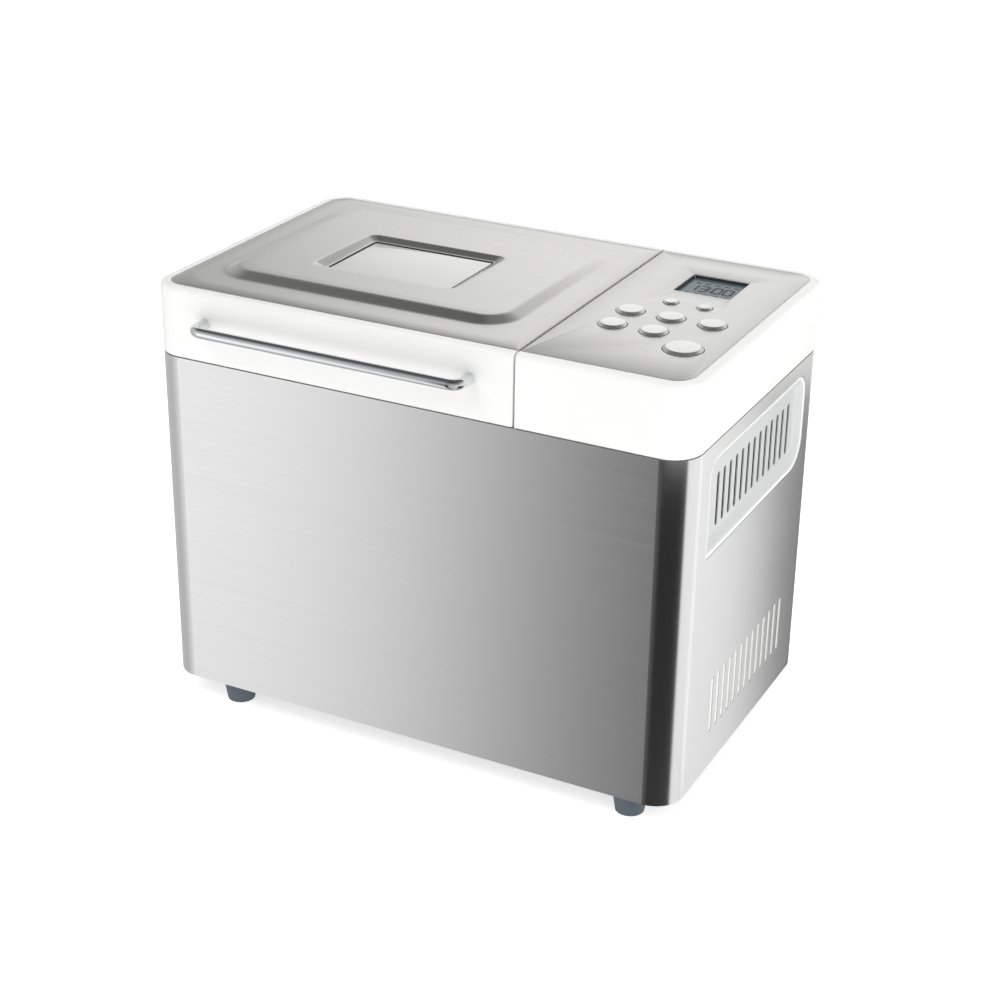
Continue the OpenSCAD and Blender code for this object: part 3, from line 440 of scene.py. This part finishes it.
HAIRLINE = 0.000004     # depth in metres of the brushing on the steel sheets
M = {
    "wrap": brushed("brushed_wrap", (0.8, 0.805, 0.8), (5, 5, 1300), (0.25, 0.27), HAIRLINE, True, 0.016,
                    anisotropic=0.9, rotation=0.25),
    "plate": brushed("brushed_plate", (0.86, 0.855, 0.84), (7, 1100, 1100), (0.25, 0.28), HAIRLINE,
                     contrast=0.014),
    "white": moulded("white_gloss", (0.9, 0.9, 0.89), (0.16, 0.24), vary=0.015, coat=0.15, coat_rough=0.2),
    "button": moulded("silver_button", (0.95, 0.95, 0.94), (0.14, 0.2), metallic=0.95),
    # A greyer copy of the white plastic for the vent tray's sunken faces: painted shade in the recess.
    "dish": moulded("white_painted_recess_shade", (0.6, 0.61, 0.61), (0.3, 0.38), vary=0.02, coat=0.2,
                    coat_rough=0.15),
    "rubber": moulded("grey_rubber", (0.1, 0.125, 0.15), (0.5, 0.62), 0.35, 1300, 0.12),
    "black_rubber": moulded("black_rubber", (0.02, 0.02, 0.022), (0.45, 0.6), 0.3),
    "silicone": moulded("red_silicone", (0.4, 0.05, 0.03), (0.4, 0.55), 0.2),
    "chrome": cast("polished_chrome", (0.76, 0.77, 0.78), (0.035, 0.07), 0.02, 300, vary=0.02),
    "glass": moulded("tinted_glass", (0.87, 0.875, 0.86), (0.05, 0.08), metallic=0.4, alpha=0.94),
    "inner_glass": moulded("clear_glass", (0.55, 0.6, 0.6), (0.03, 0.06), alpha=0.35),
    "lcd": moulded("display_film", (0.085, 0.125, 0.145), (0.2, 0.28), 0.1, 2500, 0.1, coat=0.2,
                   coat_rough=0.05),
    "ink": moulded("display_ink", (0.008, 0.012, 0.016), (0.4, 0.5)),
    "galvanised": galvanised(),
    "black": moulded("black_moulding", (0.035, 0.036, 0.04), (0.4, 0.5), 0.3),
    "board": circuit(),
    "nonstick": cast("nonstick_coat", (0.11, 0.11, 0.114), (0.3, 0.42), 0.25, 1600, 0.35, 0.25),
    "alloy": cast("cast_alloy", (0.58, 0.6, 0.61)),
    "element": cast("element_sheath", (0.1, 0.095, 0.09), (0.35, 0.5), 0.2, 700, 0.8, 0.3),
    "steel": brushed("drawn_steel", (0.66, 0.67, 0.68), (900, 900, 7), (0.2, 0.3), 0.00001),
    "core": laminated(),
    "copper": wound(),
    "bronze": cast("sintered_bronze", (0.55, 0.38, 0.16), (0.35, 0.5), 0.35, 1800),
    "belt": moulded("belt_rubber", (0.018, 0.018, 0.02), (0.5, 0.65), 0.5, 2200),
    "ivory": moulded("ivory_moulding", (0.78, 0.76, 0.68), (0.35, 0.45), 0.15),
    "sleeve": moulded("white_sleeve", (0.8, 0.8, 0.77), (0.5, 0.6), 0.5, 1800),
}
SLOT_LOOK = {
    "brushed_steel": "wrap", "white_plastic": "white", "button_plastic": "button",
    "foot_rubber": "rubber", "seal_rubber": "black_rubber", "silicone": "silicone",
    "chrome": "chrome", "window_glass": "inner_glass",
    "display": "lcd", "zinc_sheet": "galvanised", "black_plastic": "black", "board": "board",
    "nonstick": "nonstick", "cast_alloy": "alloy", "element": "element", "steel_bar": "steel",
    "core_steel": "core", "copper": "copper", "bronze": "bronze", "belt_rubber": "belt",
    "pulley_plastic": "ivory", "ceramic_white": "sleeve"}


def look(o, key):
    o.data.materials.clear()
    o.data.materials.append(M[key].mat)


def place(o, key, body, slot, *replaced):
    """Gives a piece its look and body, and names the CAD nodes that it stands in for; slot is not used."""
    look(o, key)
    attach(o, body)
    if replaced:
        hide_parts(*replaced)
    return o


for part in frame["record"]["subparts"]:
    o = nodes[part["node"]]
    for i in range(len(o.material_slots)):
        o.material_slots[i].material = M[SLOT_LOOK[part["material_slot"]]].mat

# ---------- white band: lid shell, panel housing and deck ----------


def band_ring(rect, seam_side, d, ds, z, m=0):
    """The band's outline, d inside its outer sides and ds inside its side at the seam."""
    x0, y0, x1, y1 = rect
    r, rs = max(R_CASE - d, 0.3), max(1.2 - ds, 0.15)
    if seam_side == "right":
        return at(outline((x0 + d, y0 + d, x1 - ds, y1 - d), (r, rs, rs, r), m=m), z)
    return at(outline((x0 + ds, y0 + d, x1 - d, y1 - d), (rs, r, r, rs), m=m), z)


def band(name, rect, seam_side, hole):
    """One part of the white band: outer wall, rounded top edge, rim, roof with a hole, inner wall."""
    z0 = Z_DECK + 0.6
    edge_r, steps = 3.4, 7
    profile = [(WALL, WALL, z0), (0.5, 0.3, z0), (0, 0, z0 + 0.5), (0, 0, Z_TOP - edge_r)]
    for i in range(1, steps + 1):
        a = radians(90 * i / steps)
        inwards = 1 - cos(a)
        profile.append((edge_r * inwards, SEAM_LIP * 0.6 * inwards, Z_TOP - edge_r * (1 - sin(a))))
    profile += [(RIM - 0.5, SEAM_LIP - 0.05, Z_TOP), (RIM - 0.1, SEAM_LIP, Z_TOP - 0.15),
                (RIM, SEAM_LIP, Z_TOP - 0.5), (RIM, SEAM_LIP, Z_TOP - 1)]
    rings = [band_ring(rect, seam_side, d, ds, z) for d, ds, z in profile]
    rings += [at(outline(hole, [2.5] * 4), z) for z in (Z_TOP - 1, Z_TOP - ROOF)]
    rings.append(band_ring(rect, seam_side, WALL, WALL, Z_TOP - ROOF))
    return loft(name, rings)


def seam_relief(x0, x1):
    """Cuts the rim away where a plate's edge is folded down along the seam."""
    return rounded_bar("cutter", (x0, Y0 + RIM + 0.2, Z_TOP - 4.6), (x1, Y1 - RIM - 0.2, Z_TOP + 1),
                       0.2, 0.1)


HINGE_XS = (X0 + 48, X0 + 214)
HINGE_SWEEP = 15.5                          # radius cut free around the hinge axis
BRACKET_HALF = 5.4                          # half the width of the slots for the brackets
EAR_R, EAR_HALF, EAR_AT = 7, 3, 8.4         # radius, half thickness, distance from a bracket's middle


def hinge_ear(x):
    profile = [(HINGE_Y + EAR_R * cos(radians(a)), HINGE_Z + EAR_R * sin(radians(a)))
               for a in range(0, -181, -10)]
    profile += [(HINGE_Y - EAR_R, Z_TOP - 3.5), (HINGE_Y + EAR_R, Z_TOP - 3.5)]
    return prism_x("ear", profile, x - EAR_HALF, x + EAR_HALF)


def lid_shell():
    shell = band("lid_shell_moulded", LID, "right", shrink(SEAL, 3))
    arc = [(HINGE_Y + HINGE_SWEEP * cos(radians(a)), HINGE_Z + HINGE_SWEEP * sin(radians(a)))
           for a in range(0, -91, -6)]
    below = [(HINGE_Y, Z_DECK - 4), (Y1 + 6, Z_DECK - 4), (Y1 + 6, HINGE_Z)]
    cutters = [prism_x("cutter", arc + below, X0 - 5, X_SEAM + 5)]
    for x in HINGE_XS:
        cutters.append(rounded_bar("cutter", (x - BRACKET_HALF, HINGE_Y + 7.4, Z_DECK - 2),
                                   (x + BRACKET_HALF, HINGE_Y + 30, HINGE_Z + 14.5), 0.5, 0.1, "y"))
    cutters.append(seam_relief(X_SEAM - 0.85, X_SEAM + 1))
    carve(shell, cutters)
    ears = [hinge_ear(x + side * EAR_AT) for x in HINGE_XS for side in (-1, 1)]
    return join("lid_shell_moulded", [shell] + ears)


def panel_housing():
    housing = band("panel_housing", PANEL, "left", DISPLAY)
    cutters = [disc_cutter(x, y, r + 0.3, Z_TOP - 6, Z_TOP + 2) for x, y, r, _ in BUTTONS.values()]
    cutters.append(seam_relief(X_PANEL - 1, X_PANEL + 0.85))
    return carve(housing, cutters)


def deck_frame():
    """The deck around the oven's mouth, open under the panel, with the fence behind the mouth."""
    mouth = shrink(plan("oven_liner"), 6)
    rings = [at(outline(shrink(CASE, d), [R_CASE - d] * 4), z)
             for d, z in ((1.6, Z_DECK - 3), (1.4, Z_DECK - 2.8), (1.4, Z_DECK - 0.4), (1.8, Z_DECK))]
    rings += [at(outline(shrink(mouth, d), [13 - d] * 4), z)
              for d, z in ((-0.8, Z_DECK), (0, Z_DECK - 0.8), (0, Z_DECK - 3))]
    deck = loft("deck_frame", rings)
    x, y = (DISPLAY[0] + DISPLAY[2]) / 2, (Y0 + Y1) / 2
    half_w, half_d = 42, 85
    carve(deck, [rounded_bar("cutter", (x - half_w, y - half_d, Z_DECK - 6),
                             (x + half_w, y + half_d, Z_DECK + 3), 8)])
    fence_y, fence_t, fence_top = HINGE_Y - 18.2, 2, box("top_frame")[1][2]
    fence = rounded_bar("fence", (X0 + 8, fence_y, Z_DECK - 0.5),
                        (X_SEAM - 8, fence_y + fence_t, fence_top), 0.9, 0.6)
    return join("deck_frame", [deck, fence])


place(lid_shell(), "white", "lid", "white_plastic", "lid_shell")
place(panel_housing(), "white", "base", "white_plastic", "upper_housing")
place(deck_frame(), "white", "base", "white_plastic", "top_frame")

# ---------- lid plate with its raised field and window recess ----------

FIELD = (X0 + 24, Y0 + 33, X0 + 243, Y0 + 209)
FIELD_R = 26                                # corner radius of the field's foot
RAMP = 11.5                                 # width of the slope up to the field
RISE = Z_PEAK - Z_TOP - 0.05

# a plate's rolled edge: distance inwards and depth
PLATE_EDGE = ((0.4, 0.95), (0.05, 0.9), (0, 0.3), (0.12, 0.08), (0.35, 0))
FOLD = 3.4                                  # how much deeper the edge along the seam is folded down
FOLD_INSET = 0.35


def field_z(x, y):
    """The field is highest in front and sinks into the plate at the back."""
    t = min(max((y - FIELD[1]) / (FIELD[3] - FIELD[1]), 0), 1)
    return Z_TOP + RISE * (1 - t ** 2.4)


def ramp_blend(s, ease=0.2):
    """A straight slope from 0 to 1 with short rounded ends."""
    if s < ease:
        return s * s / (2 * ease * (1 - ease))
    if s > 1 - ease:
        return 1 - ramp_blend(1 - s, ease)
    return (s - ease / 2) / (1 - ease)


def lerp_rings(a, b, s):
    return [tuple(u + (v - u) * s for u, v in zip(p, q)) for p, q in zip(a, b)]


def plate_edge(rect, seam_side, near_seam, m=0):
    """Rings of a plate's edge, folded down where near_seam(x) holds."""
    rings = []
    for d, drop in PLATE_EDGE:
        rings.append(band_ring(rect, seam_side, RIM + GROOVE + d, FOLD_INSET + d,
                               lambda x, y: Z_TOP - drop - (FOLD if drop > 0.5 and near_seam(x) else 0), m))
    return rings


def lid_plate():
    m = 14                                  # points along each straight side, so that rings match
    rings = plate_edge(LID, "right", lambda x: x > X_SEAM - 1.5, m)
    flat = at(outline(FIELD, [FIELD_R] * 4, m=m), Z_TOP)
    rings += [lerp_rings(rings[-1], flat, s) for s in (0.5, 0.9)] + [flat]
    for i in range(1, 11):
        s = i / 10
        blend = ramp_blend(s)
        rings.append(at(outline(shrink(FIELD, RAMP * s), [FIELD_R - RAMP * s] * 4, m=m),
                        lambda x, y: Z_TOP + (field_z(x, y) - Z_TOP) * blend))

    recess = (GLASS[0] - 8, GLASS[1] - 8.5, GLASS[2] + 8, GLASS[3] + 8.5)
    slope, recess_r, recess_z = 7, 7, Z_TOP - 0.35
    top = at(outline(recess, [recess_r] * 4, m=m), 0)
    start = rings[-1]
    for s in (0.25, 0.5, 0.75, 0.93):
        rings.append([(x, y, field_z(x, y)) for x, y, _ in lerp_rings(start, top, s)])
    for s, k in ((0, 0), (0.06, 0.015), (0.14, 0.09), (0.25, 0.25), (0.5, 0.56), (0.75, 0.86),
                 (0.86, 0.96), (1, 1)):
        rings.append(at(outline(shrink(recess, slope * s), [recess_r - 4 * s] * 4, m=m),
                        lambda x, y: field_z(x, y) + (recess_z - field_z(x, y)) * k))
    rings += [at(outline(shrink(SEAL, 0.15), [2.6] * 4, m=m), z) for z in (recess_z, Z_TOP - 0.95)]
    return loft("lid_plate_pressed", rings, angle=50)


place(lid_plate(), "plate", "lid", "brushed_steel", "lid_top_plate")

# ---------- panel plate ----------


def panel_plate():
    rings = plate_edge(PANEL, "left", lambda x: x < X_PANEL + 1.5)
    for d, z in ((-0.75, Z_TOP), (-0.35, Z_TOP - 0.12), (-0.15, Z_TOP - 0.45), (-0.15, Z_TOP - 0.95)):
        rings.append(at(outline(shrink(DISPLAY, d), [1 - d] * 4), z))
    cutters = []
    for x, y, r, _ in BUTTONS.values():
        hole, lip = r + 0.3, r + 0.75
        cutters.append(revolve("cutter", [(hole, Z_TOP - 2), (hole, Z_TOP - 0.25), (lip, Z_TOP + 0.2),
                                          (lip, Z_TOP + 2)], (x, y), 64))
    return carve(loft("panel_plate_pressed", rings), cutters)


place(panel_plate(), "plate", "base", "brushed_steel", "control_fascia")

# ---------- window ----------


def window_pane():
    profile = ((0.3, Z_TOP - 3), (0, Z_TOP - 2.7), (0, Z_TOP - 1.1), (0.15, Z_TOP - 0.85),
               (0.6, Z_TOP - 0.75))
    rings = [at(outline(shrink(GLASS, d), [1.6 - d] * 4), z) for d, z in profile]
    return loft("window_pane", rings, close=False, caps=True)


def window_gasket():
    profile = ((-1.4, Z_TOP - 3), (-1.4, Z_TOP - 0.6), (-1.1, Z_TOP - 0.3), (-0.4, Z_TOP - 0.3),
               (0.1, Z_TOP - 0.6), (0.1, Z_TOP - 3))
    return loft("window_gasket", [at(outline(shrink(GLASS, d), [max(1.6 - d, 0.4)] * 4), z)
                                  for d, z in profile])


place(window_pane(), "glass", "lid", "window_glass", "window_glass")
place(window_gasket(), "black_rubber", "lid", "seal_rubber", "window_seal")

# ---------- handle ----------


def handle():
    """A round bar in front of the lid, bent back at both ends into the band."""
    lo, hi = box("lid_handle")
    r, z = (hi[2] - lo[2]) / 2, (hi[2] + lo[2]) / 2
    y = lo[1] + r
    left, right, bend = lo[0] + r, hi[0] - r, 7
    quarter = [radians(a) for a in range(0, 91, 6)]
    path = [(left, Y0 + 0.6, z), (left, Y0 - 3, z), (left, y + bend + 0.5, z)]
    path += [(left + bend - bend * cos(a), y + bend - bend * sin(a), z) for a in quarter]
    path += [(left + bend + (right - left - 2 * bend) * i / 12, y, z) for i in range(1, 12)]
    path += [(right - bend + bend * sin(a), y + bend - bend * cos(a), z) for a in quarter]
    path += [(right, y + bend + 0.5, z), (right, Y0 - 3, z), (right, Y0 + 0.6, z)]
    return tube("lid_handle_bar", path, r, 36)


place(handle(), "chrome", "lid", "chrome", "lid_handle")

# ---------- buttons ----------


def button_cap(name, x, y, r, z_hi):
    """Stem, collar under the plate, and a low cone with a slightly domed face."""
    z_lo = box(name)[0][2]
    top = z_hi if r > 7 else z_hi - 0.5     # the small keys stand a little lower
    face, dome, steps = r * 0.85, 0.15, 8
    profile = [(1.5, z_lo), (1.5, Z_TOP - 4.9), (r + 1.2, Z_TOP - 4.9), (r + 1.2, Z_TOP - 3.7),
               (r - 0.4, Z_TOP - 3.7), (r - 0.4, Z_TOP - 0.1), (r, Z_TOP + 0.15), (r, Z_TOP + 0.3),
               (face + 0.3, top - 0.35), (face + 0.1, top - 0.22), (face - 0.15, top - 0.17)]
    profile += [(max(face * (1 - i / steps), 0.01), top - dome * (1 - i / steps) ** 2)
                for i in range(1, steps + 1)]
    return revolve(name + "_cap", profile, (x, y), 64)


for name, spot in BUTTONS.items():
    place(button_cap(name, *spot), "button", name + "_body", "button_plastic", name)

# ---------- display ----------

FILM_Z = Z_TOP - 2.2
STROKE = 0.7                                # half the width of a segment


def display_ring(d, z):
    return at(outline(shrink(DISPLAY, d), [max(1 - d, 0.2)] * 4), z)


def display_window():
    rings = [display_ring(d, z) for d, z in ((0, FILM_Z - 1.2), (0, FILM_Z - 0.2), (0.2, FILM_Z))]
    return loft("display_window", rings, close=False, caps=True)


# Black walls and lip inside the display's recess: painted shade along the recess's sides.
def display_bezel_painted_shade():
    profile = ((-0.1, FILM_Z + 0.02), (-0.1, Z_TOP - 0.7), (0.1, Z_TOP - 0.5), (0.4, Z_TOP - 0.5),
               (0.6, Z_TOP - 0.7), (0.6, FILM_Z + 0.02))
    return loft("display_bezel_painted_shade", [display_ring(d, z) for d, z in profile])


def segment(x0, y0, x1, y1):
    """Outline of a stroke with pointed ends."""
    dx, dy = x1 - x0, y1 - y0
    length = math.hypot(dx, dy)
    ux, uy = dx / length * STROKE, dy / length * STROKE
    return [(x0, y0), (x0 + ux - uy, y0 + uy + ux), (x1 - ux - uy, y1 - uy + ux), (x1, y1),
            (x1 - ux + uy, y1 - uy - ux), (x0 + ux + uy, y0 + uy - ux)]


def block(x0, y0, x1, y1):
    return [(x0, y0), (x1, y0), (x1, y1), (x0, y1)]


def digits():
    """Four seven-segment digits with a colon, and small marks above and below them."""
    w, h, pitch = 5.2, 10.5, 7.6
    strokes = {"a": (0, h, w, h), "b": (w, h / 2, w, h), "c": (w, 0, w, h / 2), "d": (0, 0, w, 0),
               "e": (0, 0, 0, h / 2), "f": (0, h / 2, 0, h), "g": (0, h / 2, w, h / 2)}
    chars = {"3": "abcdg", "0": "abcdef", "1": "bc"}
    cx, cy = (DISPLAY[0] + DISPLAY[2]) / 2, (DISPLAY[1] + DISPLAY[3]) / 2 - 1.5
    shapes = []
    for i, char in enumerate("1300"):
        left = cx - 15.2 + i * pitch + (1.6 if i > 1 else 0)
        for key in chars[char]:
            x0, y0, x1, y1 = strokes[key]
            shapes.append(segment(left + x0 + 0.15, cy - h / 2 + y0, left + x1 + 0.15, cy - h / 2 + y1))
    for dy in (-2.2, 2.2):
        shapes.append(block(cx - 0.9, cy + dy - 0.6, cx + 0.3, cy + dy + 0.6))
    for i in range(5):
        x = cx - 14 + i * 6.6
        shapes.append(block(x, cy + 9.5, x + 3.4, cy + 10.7))
        shapes.append(block(x, cy - 10.9, x + 2.4, cy - 9.9))
    verts, faces = [], []
    for shape in shapes:
        k, n = len(verts), len(shape)
        verts += [(x, y, z) for z in (FILM_Z, FILM_Z + 0.06) for x, y in shape]
        faces += [tuple(range(k, k + n)), tuple(range(k + n, k + 2 * n))]
        faces += [(k + j, k + (j + 1) % n, k + n + (j + 1) % n, k + n + j) for j in range(n)]
    return obj_from("display_segments", verts, faces)


place(display_window(), "lcd", "base", "display", "lcd_lens")
# The black walls paint the shade inside the display's recess.
place(display_bezel_painted_shade(), "black", "base", "black_plastic")
place(digits(), "ink", "base", "display")

# ---------- side vents ----------

FLANGE = 4                                  # of the tray, behind the wrap's sheet
SLOT_COUNT, SLOT_PITCH = 13, 10.3
vent_lo, vent_hi = box("side_vent_grille")
VENT = shrink((vent_lo[1], vent_lo[2], vent_hi[1], vent_hi[2]), FLANGE)     # y0, z0, y1, z1


def slot_ys(middle):
    return [middle + (i - SLOT_COUNT // 2) * SLOT_PITCH for i in range(SLOT_COUNT)]


def vent():
    """A tray in the wrap's opening: flange, flat frame, and a dish with upright slots."""
    corners = (2, 20, 14, 14)               # front bottom, back bottom, back top, front top

    def ring(front, bottom, back, top, radii, x):
        pts = outline((VENT[0] + front, VENT[1] + bottom, VENT[2] - back, VENT[3] - top), radii, 8)
        return [(x, a, b) for a, b in pts]

    def even(d, x):
        radii = (6,) * 4 if d < 0 else [max(c - d, 0.5) for c in corners]
        return ring(d, d, d, d, radii, x)
    rings = [even(d, X1 - depth)
             for d, depth in ((-FLANGE, 3.2), (-FLANGE, 1.3), (0.3, 1.3), (0.3, 0.2), (0.6, 0))]
    rings.append(ring(1.4, 1.6, 2.0, 1.5, (1.8, 18.4, 12.5, 12.5), X1))
    steps = 8
    for i in range(1, steps + 1):
        s = i / steps
        sunk = 3.4 * (s * s * (3 - 2 * s))
        rings.append(ring(1.4 + 2.6 * s, 1.6 + 11 * s, 2 + 11 * s, 1.5 + 6.5 * s,
                          (1.8 + 3 * s, 18.4 - 6 * s, 12.5 - 4 * s, 12.5 - 4 * s), X1 - sunk))
    rings.append([(X1 - 4, a, b) for _, a, b in rings[-1]])
    tray = loft("side_vent_tray", rings, close=False, caps=True)

    z = (VENT[1] + VENT[3]) / 2
    slots = []
    for y in slot_ys((VENT[0] + VENT[2]) / 2):
        pts = outline((y - 2.1, z - 19, y + 2.1, z + 17), [2.05] * 4, 6)
        slots.append(loft("cutter", [[(x, a, b) for a, b in pts] for x in (X1 - 9, X1 + 3)],
                          close=False, caps=True))
    return carve(tray, slots)


def lower_vent():
    """A plate behind the wrap whose ribs stand in the lower slots."""
    lo, hi = box("lower_vent_liner")
    plate = rounded_bar("plate", (X1 - 3.2, lo[1], lo[2]), (X1 - 1.3, hi[1], hi[2]), 3, 0.2, "x")
    z, half_w, half_h = (lo[2] + hi[2]) / 2, 1.9, 19.8
    ribs = [rounded_bar("rib", (X1 - 1.6, y - half_w, z - half_h), (X1 - 0.35, y + half_w, z + half_h),
                        1.85, 0.3, "x") for y in slot_ys((lo[1] + hi[1]) / 2)]
    return join("lower_vent_ribs", [plate] + ribs)


tray = place(vent(), "white", "base", "white_plastic", "side_vent_grille")
# Faces sunk behind the wrap's sheet take the greyer copy: painted shade inside the vent's dish.
tray.data.materials.append(M["dish"].mat)
for face in tray.data.polygons:
    face.material_index = int(face.center.x < (X1 - 0.25) * MM)
place(lower_vent(), "white", "base", "white_plastic", "lower_vent_liner")

# ---------- stage ----------

# Brightness of the studio walls in glossy reflections, by azimuth in degrees counter-clockwise from +X.
# The cards below add their own reflections, light and black.
# Below the horizon, for the upright faces:
LOW_WALLS = ((-180, 0.4), (-158, 0.4), (-138, 0.55), (-129, 0.84), (-125, 0.84), (-121, 0.66),
             (-118, 0.43), (-115, 0.2), (-112, 0.05), (-98, 0.05), (-86, 0.36), (-60, 0.42),
             (-20, 0.55), (-11, 0.7), (35, 0.74), (48, 0.6), (60, 0.24), (72, 0.08), (80, 0.1),
             (90, 0.4), (120, 0.45), (180, 0.4))
# Above it, for the top:
HIGH_WALLS = ((-180, 0.42), (-130, 0.48), (-112, 0.28), (-19, 0.28), (0, 0.5), (60, 0.5), (88, 0.42),
              (102, 0.62), (115, 0.64), (121, 0.5), (128, 0.25), (145, 0.32), (180, 0.42))
# A factor on both, by the sine of the elevation:
HEIGHTS = ((-0.55, 0.85), (-0.39, 0.98), (-0.2, 0.95), (0.3, 1.0), (0.55, 0.75), (0.8, 0.2), (1.0, 0.16))
# The share of the high walls, by the same sine:
HORIZON = ((0.06, 0), (0.22, 1))
CAMERA_LIGHT, SOFT_LIGHT, GLOSS_LIGHT = 1.05, 0.5, 1.5      # the world's strength, by kind of ray


def world():
    """White to the camera, even light for diffuse surfaces, light and dark walls for reflections."""
    w = bpy.data.worlds.new("studio")
    scene.world = w
    w.use_nodes = True
    t = w.node_tree
    t.nodes.clear()
    new, link = t.nodes.new, t.links.new

    def maths(operation, a, b):
        n = new("ShaderNodeMath")
        n.operation = operation
        link(a, n.inputs[0])
        if isinstance(b, float):
            n.inputs[1].default_value = b
        else:
            link(b, n.inputs[1])
        return n.outputs[0]

    def ramp(value, low, high, stops):
        span = new("ShaderNodeMapRange")
        span.inputs["From Min"].default_value, span.inputs["From Max"].default_value = low, high
        link(value, span.inputs["Value"])
        r = new("ShaderNodeValToRGB")
        elements = r.color_ramp.elements
        elements.remove(elements[1])
        for k, (stop, v) in enumerate(stops):
            place_on_ramp = (stop - low) / (high - low)
            e = elements[0] if k == 0 else elements.new(place_on_ramp)
            e.position = place_on_ramp
            e.color = (v, v, v, 1)
        link(span.outputs["Result"], r.inputs["Fac"])
        return r.outputs["Color"]

    def mix(blend, factor, a, b):
        n = new("ShaderNodeMix")
        n.data_type, n.blend_type = "RGBA", blend
        if factor is None:
            n.inputs["Factor"].default_value = 1
        else:
            link(factor, n.inputs["Factor"])
        link(a, n.inputs["A"])
        link(b, n.inputs["B"])
        return n.outputs["Result"]

    def light(strength, color=None):
        n = new("ShaderNodeBackground")
        n.inputs["Strength"].default_value = strength
        n.inputs["Color"].default_value = (1, 1, 1, 1)
        if color is not None:
            link(color, n.inputs["Color"])
        return n.outputs[0]

    def choose(test, a, b):
        """Shader b where the test is 1, else a."""
        n = new("ShaderNodeMixShader")
        link(test, n.inputs["Fac"])
        link(a, n.inputs[1])
        link(b, n.inputs[2])
        return n.outputs[0]

    way = new("ShaderNodeSeparateXYZ")
    link(new("ShaderNodeTexCoord").outputs["Generated"], way.inputs[0])
    degrees = maths("MULTIPLY", maths("ARCTAN2", way.outputs["Y"], way.outputs["X"]), 180 / pi)
    height = way.outputs["Z"]
    walls = mix("MIX", ramp(height, -1, 1, HORIZON), ramp(degrees, -180, 180, LOW_WALLS),
                ramp(degrees, -180, 180, HIGH_WALLS))
    studio = mix("MULTIPLY", None, walls, ramp(height, -1, 1, HEIGHTS))
    rays = new("ShaderNodeLightPath")
    indirect = choose(rays.outputs["Is Glossy Ray"], light(SOFT_LIGHT), light(GLOSS_LIGHT, studio))
    out = new("ShaderNodeOutputWorld")
    link(choose(rays.outputs["Is Camera Ray"], indirect, light(CAMERA_LIGHT)), out.inputs["Surface"])


def lamp(name, where, target, size, power):
    """A square area lamp that reflections don't show."""
    data = bpy.data.lights.new(name, "AREA")
    data.energy, data.size = power, size
    o = bpy.data.objects.new(name, data)
    o.location = where
    o.rotation_euler = (Vector(target) - Vector(where)).to_track_quat("-Z", "Y").to_euler()
    o.visible_glossy = False
    scene.collection.objects.link(o)
    return o


def gloss_card(name, where, target, size, spread, power):
    """A glowing card for reflections, hidden from the camera and from diffuse surfaces.

    It shines within half the spread of its own direction.
    """
    o = lamp(name, where, target, size[0], power)
    o.data.shape, o.data.size_y, o.data.spread = "RECTANGLE", size[1], radians(spread)
    o.visible_camera = o.visible_diffuse = False
    o.visible_glossy = True


def black_card(name, corner, turn, away, width, low, high):
    """An upright black card for reflections, beside a corner and square to the direction turn.

    The camera and diffuse surfaces don't see it, and it casts no shadow.
    """
    mid = Vector(corner) + away * Vector((cos(turn), sin(turn)))
    across = width / 2 * Vector((-sin(turn), cos(turn)))
    verts = [(*(mid + side * across), z) for side, z in ((-1, low), (1, low), (1, high), (-1, high))]
    o = obj_from(name, verts, [(0, 1, 2, 3)], scale=1)
    o.data.materials.append(moulded(name, (0.01, 0.01, 0.01), (0.85, 0.95), vary=0.004).mat)
    o.visible_camera = o.visible_diffuse = o.visible_shadow = False
    return o


def pale_floor(half, drop):
    """A plain pale floor that glows a little, so that the object's shadow stays faint."""
    o = obj_from("floor", [(x * half, y * half, -drop) for x, y in ((-1, -1), (1, -1), (1, 1), (-1, 1))],
                 [(0, 1, 2, 3)], scale=1)
    pale = moulded("pale_floor", (0.93, 0.93, 0.93), (0.7, 0.8), vary=0.004)
    pale.bsdf.inputs["Emission Color"].default_value = (1, 1, 1, 1)
    pale.bsdf.inputs["Emission Strength"].default_value = 0.68
    o.data.materials.append(pale.mat)
    o.visible_glossy = o.visible_shadow = False
    return o


world()
lamp("key", (-0.9, -1.6, 2.2), (0, 0, 0.15), 1.6, 15)
lamp("fill", (1.9, -0.5, 1.3), (0, 0, 0.15), 1.4, 12)
lamp("top", (0, 0.4, 2.6), (0, 0, 0), 2.2, 18)
gloss_card("side_sheen", (0.38, 0.2515, 0.04), (0.275, -0.06, 0.17), (0.2, 0.52), 75, 0.052)
gloss_card("upper_sheen", (0.24, 0.25, 0.24), (0.2, 0.05, 0.22), (0.1, 0.14), 75, 0.0095)
floor = pale_floor(half=9, drop=0.0001)
card = black_card("corner_card", corner=(0.17, -0.087), turn=radians(-55), away=0.07, width=0.12,
                  low=-0.09, high=0.24)
scene.view_settings.view_transform = "Standard"
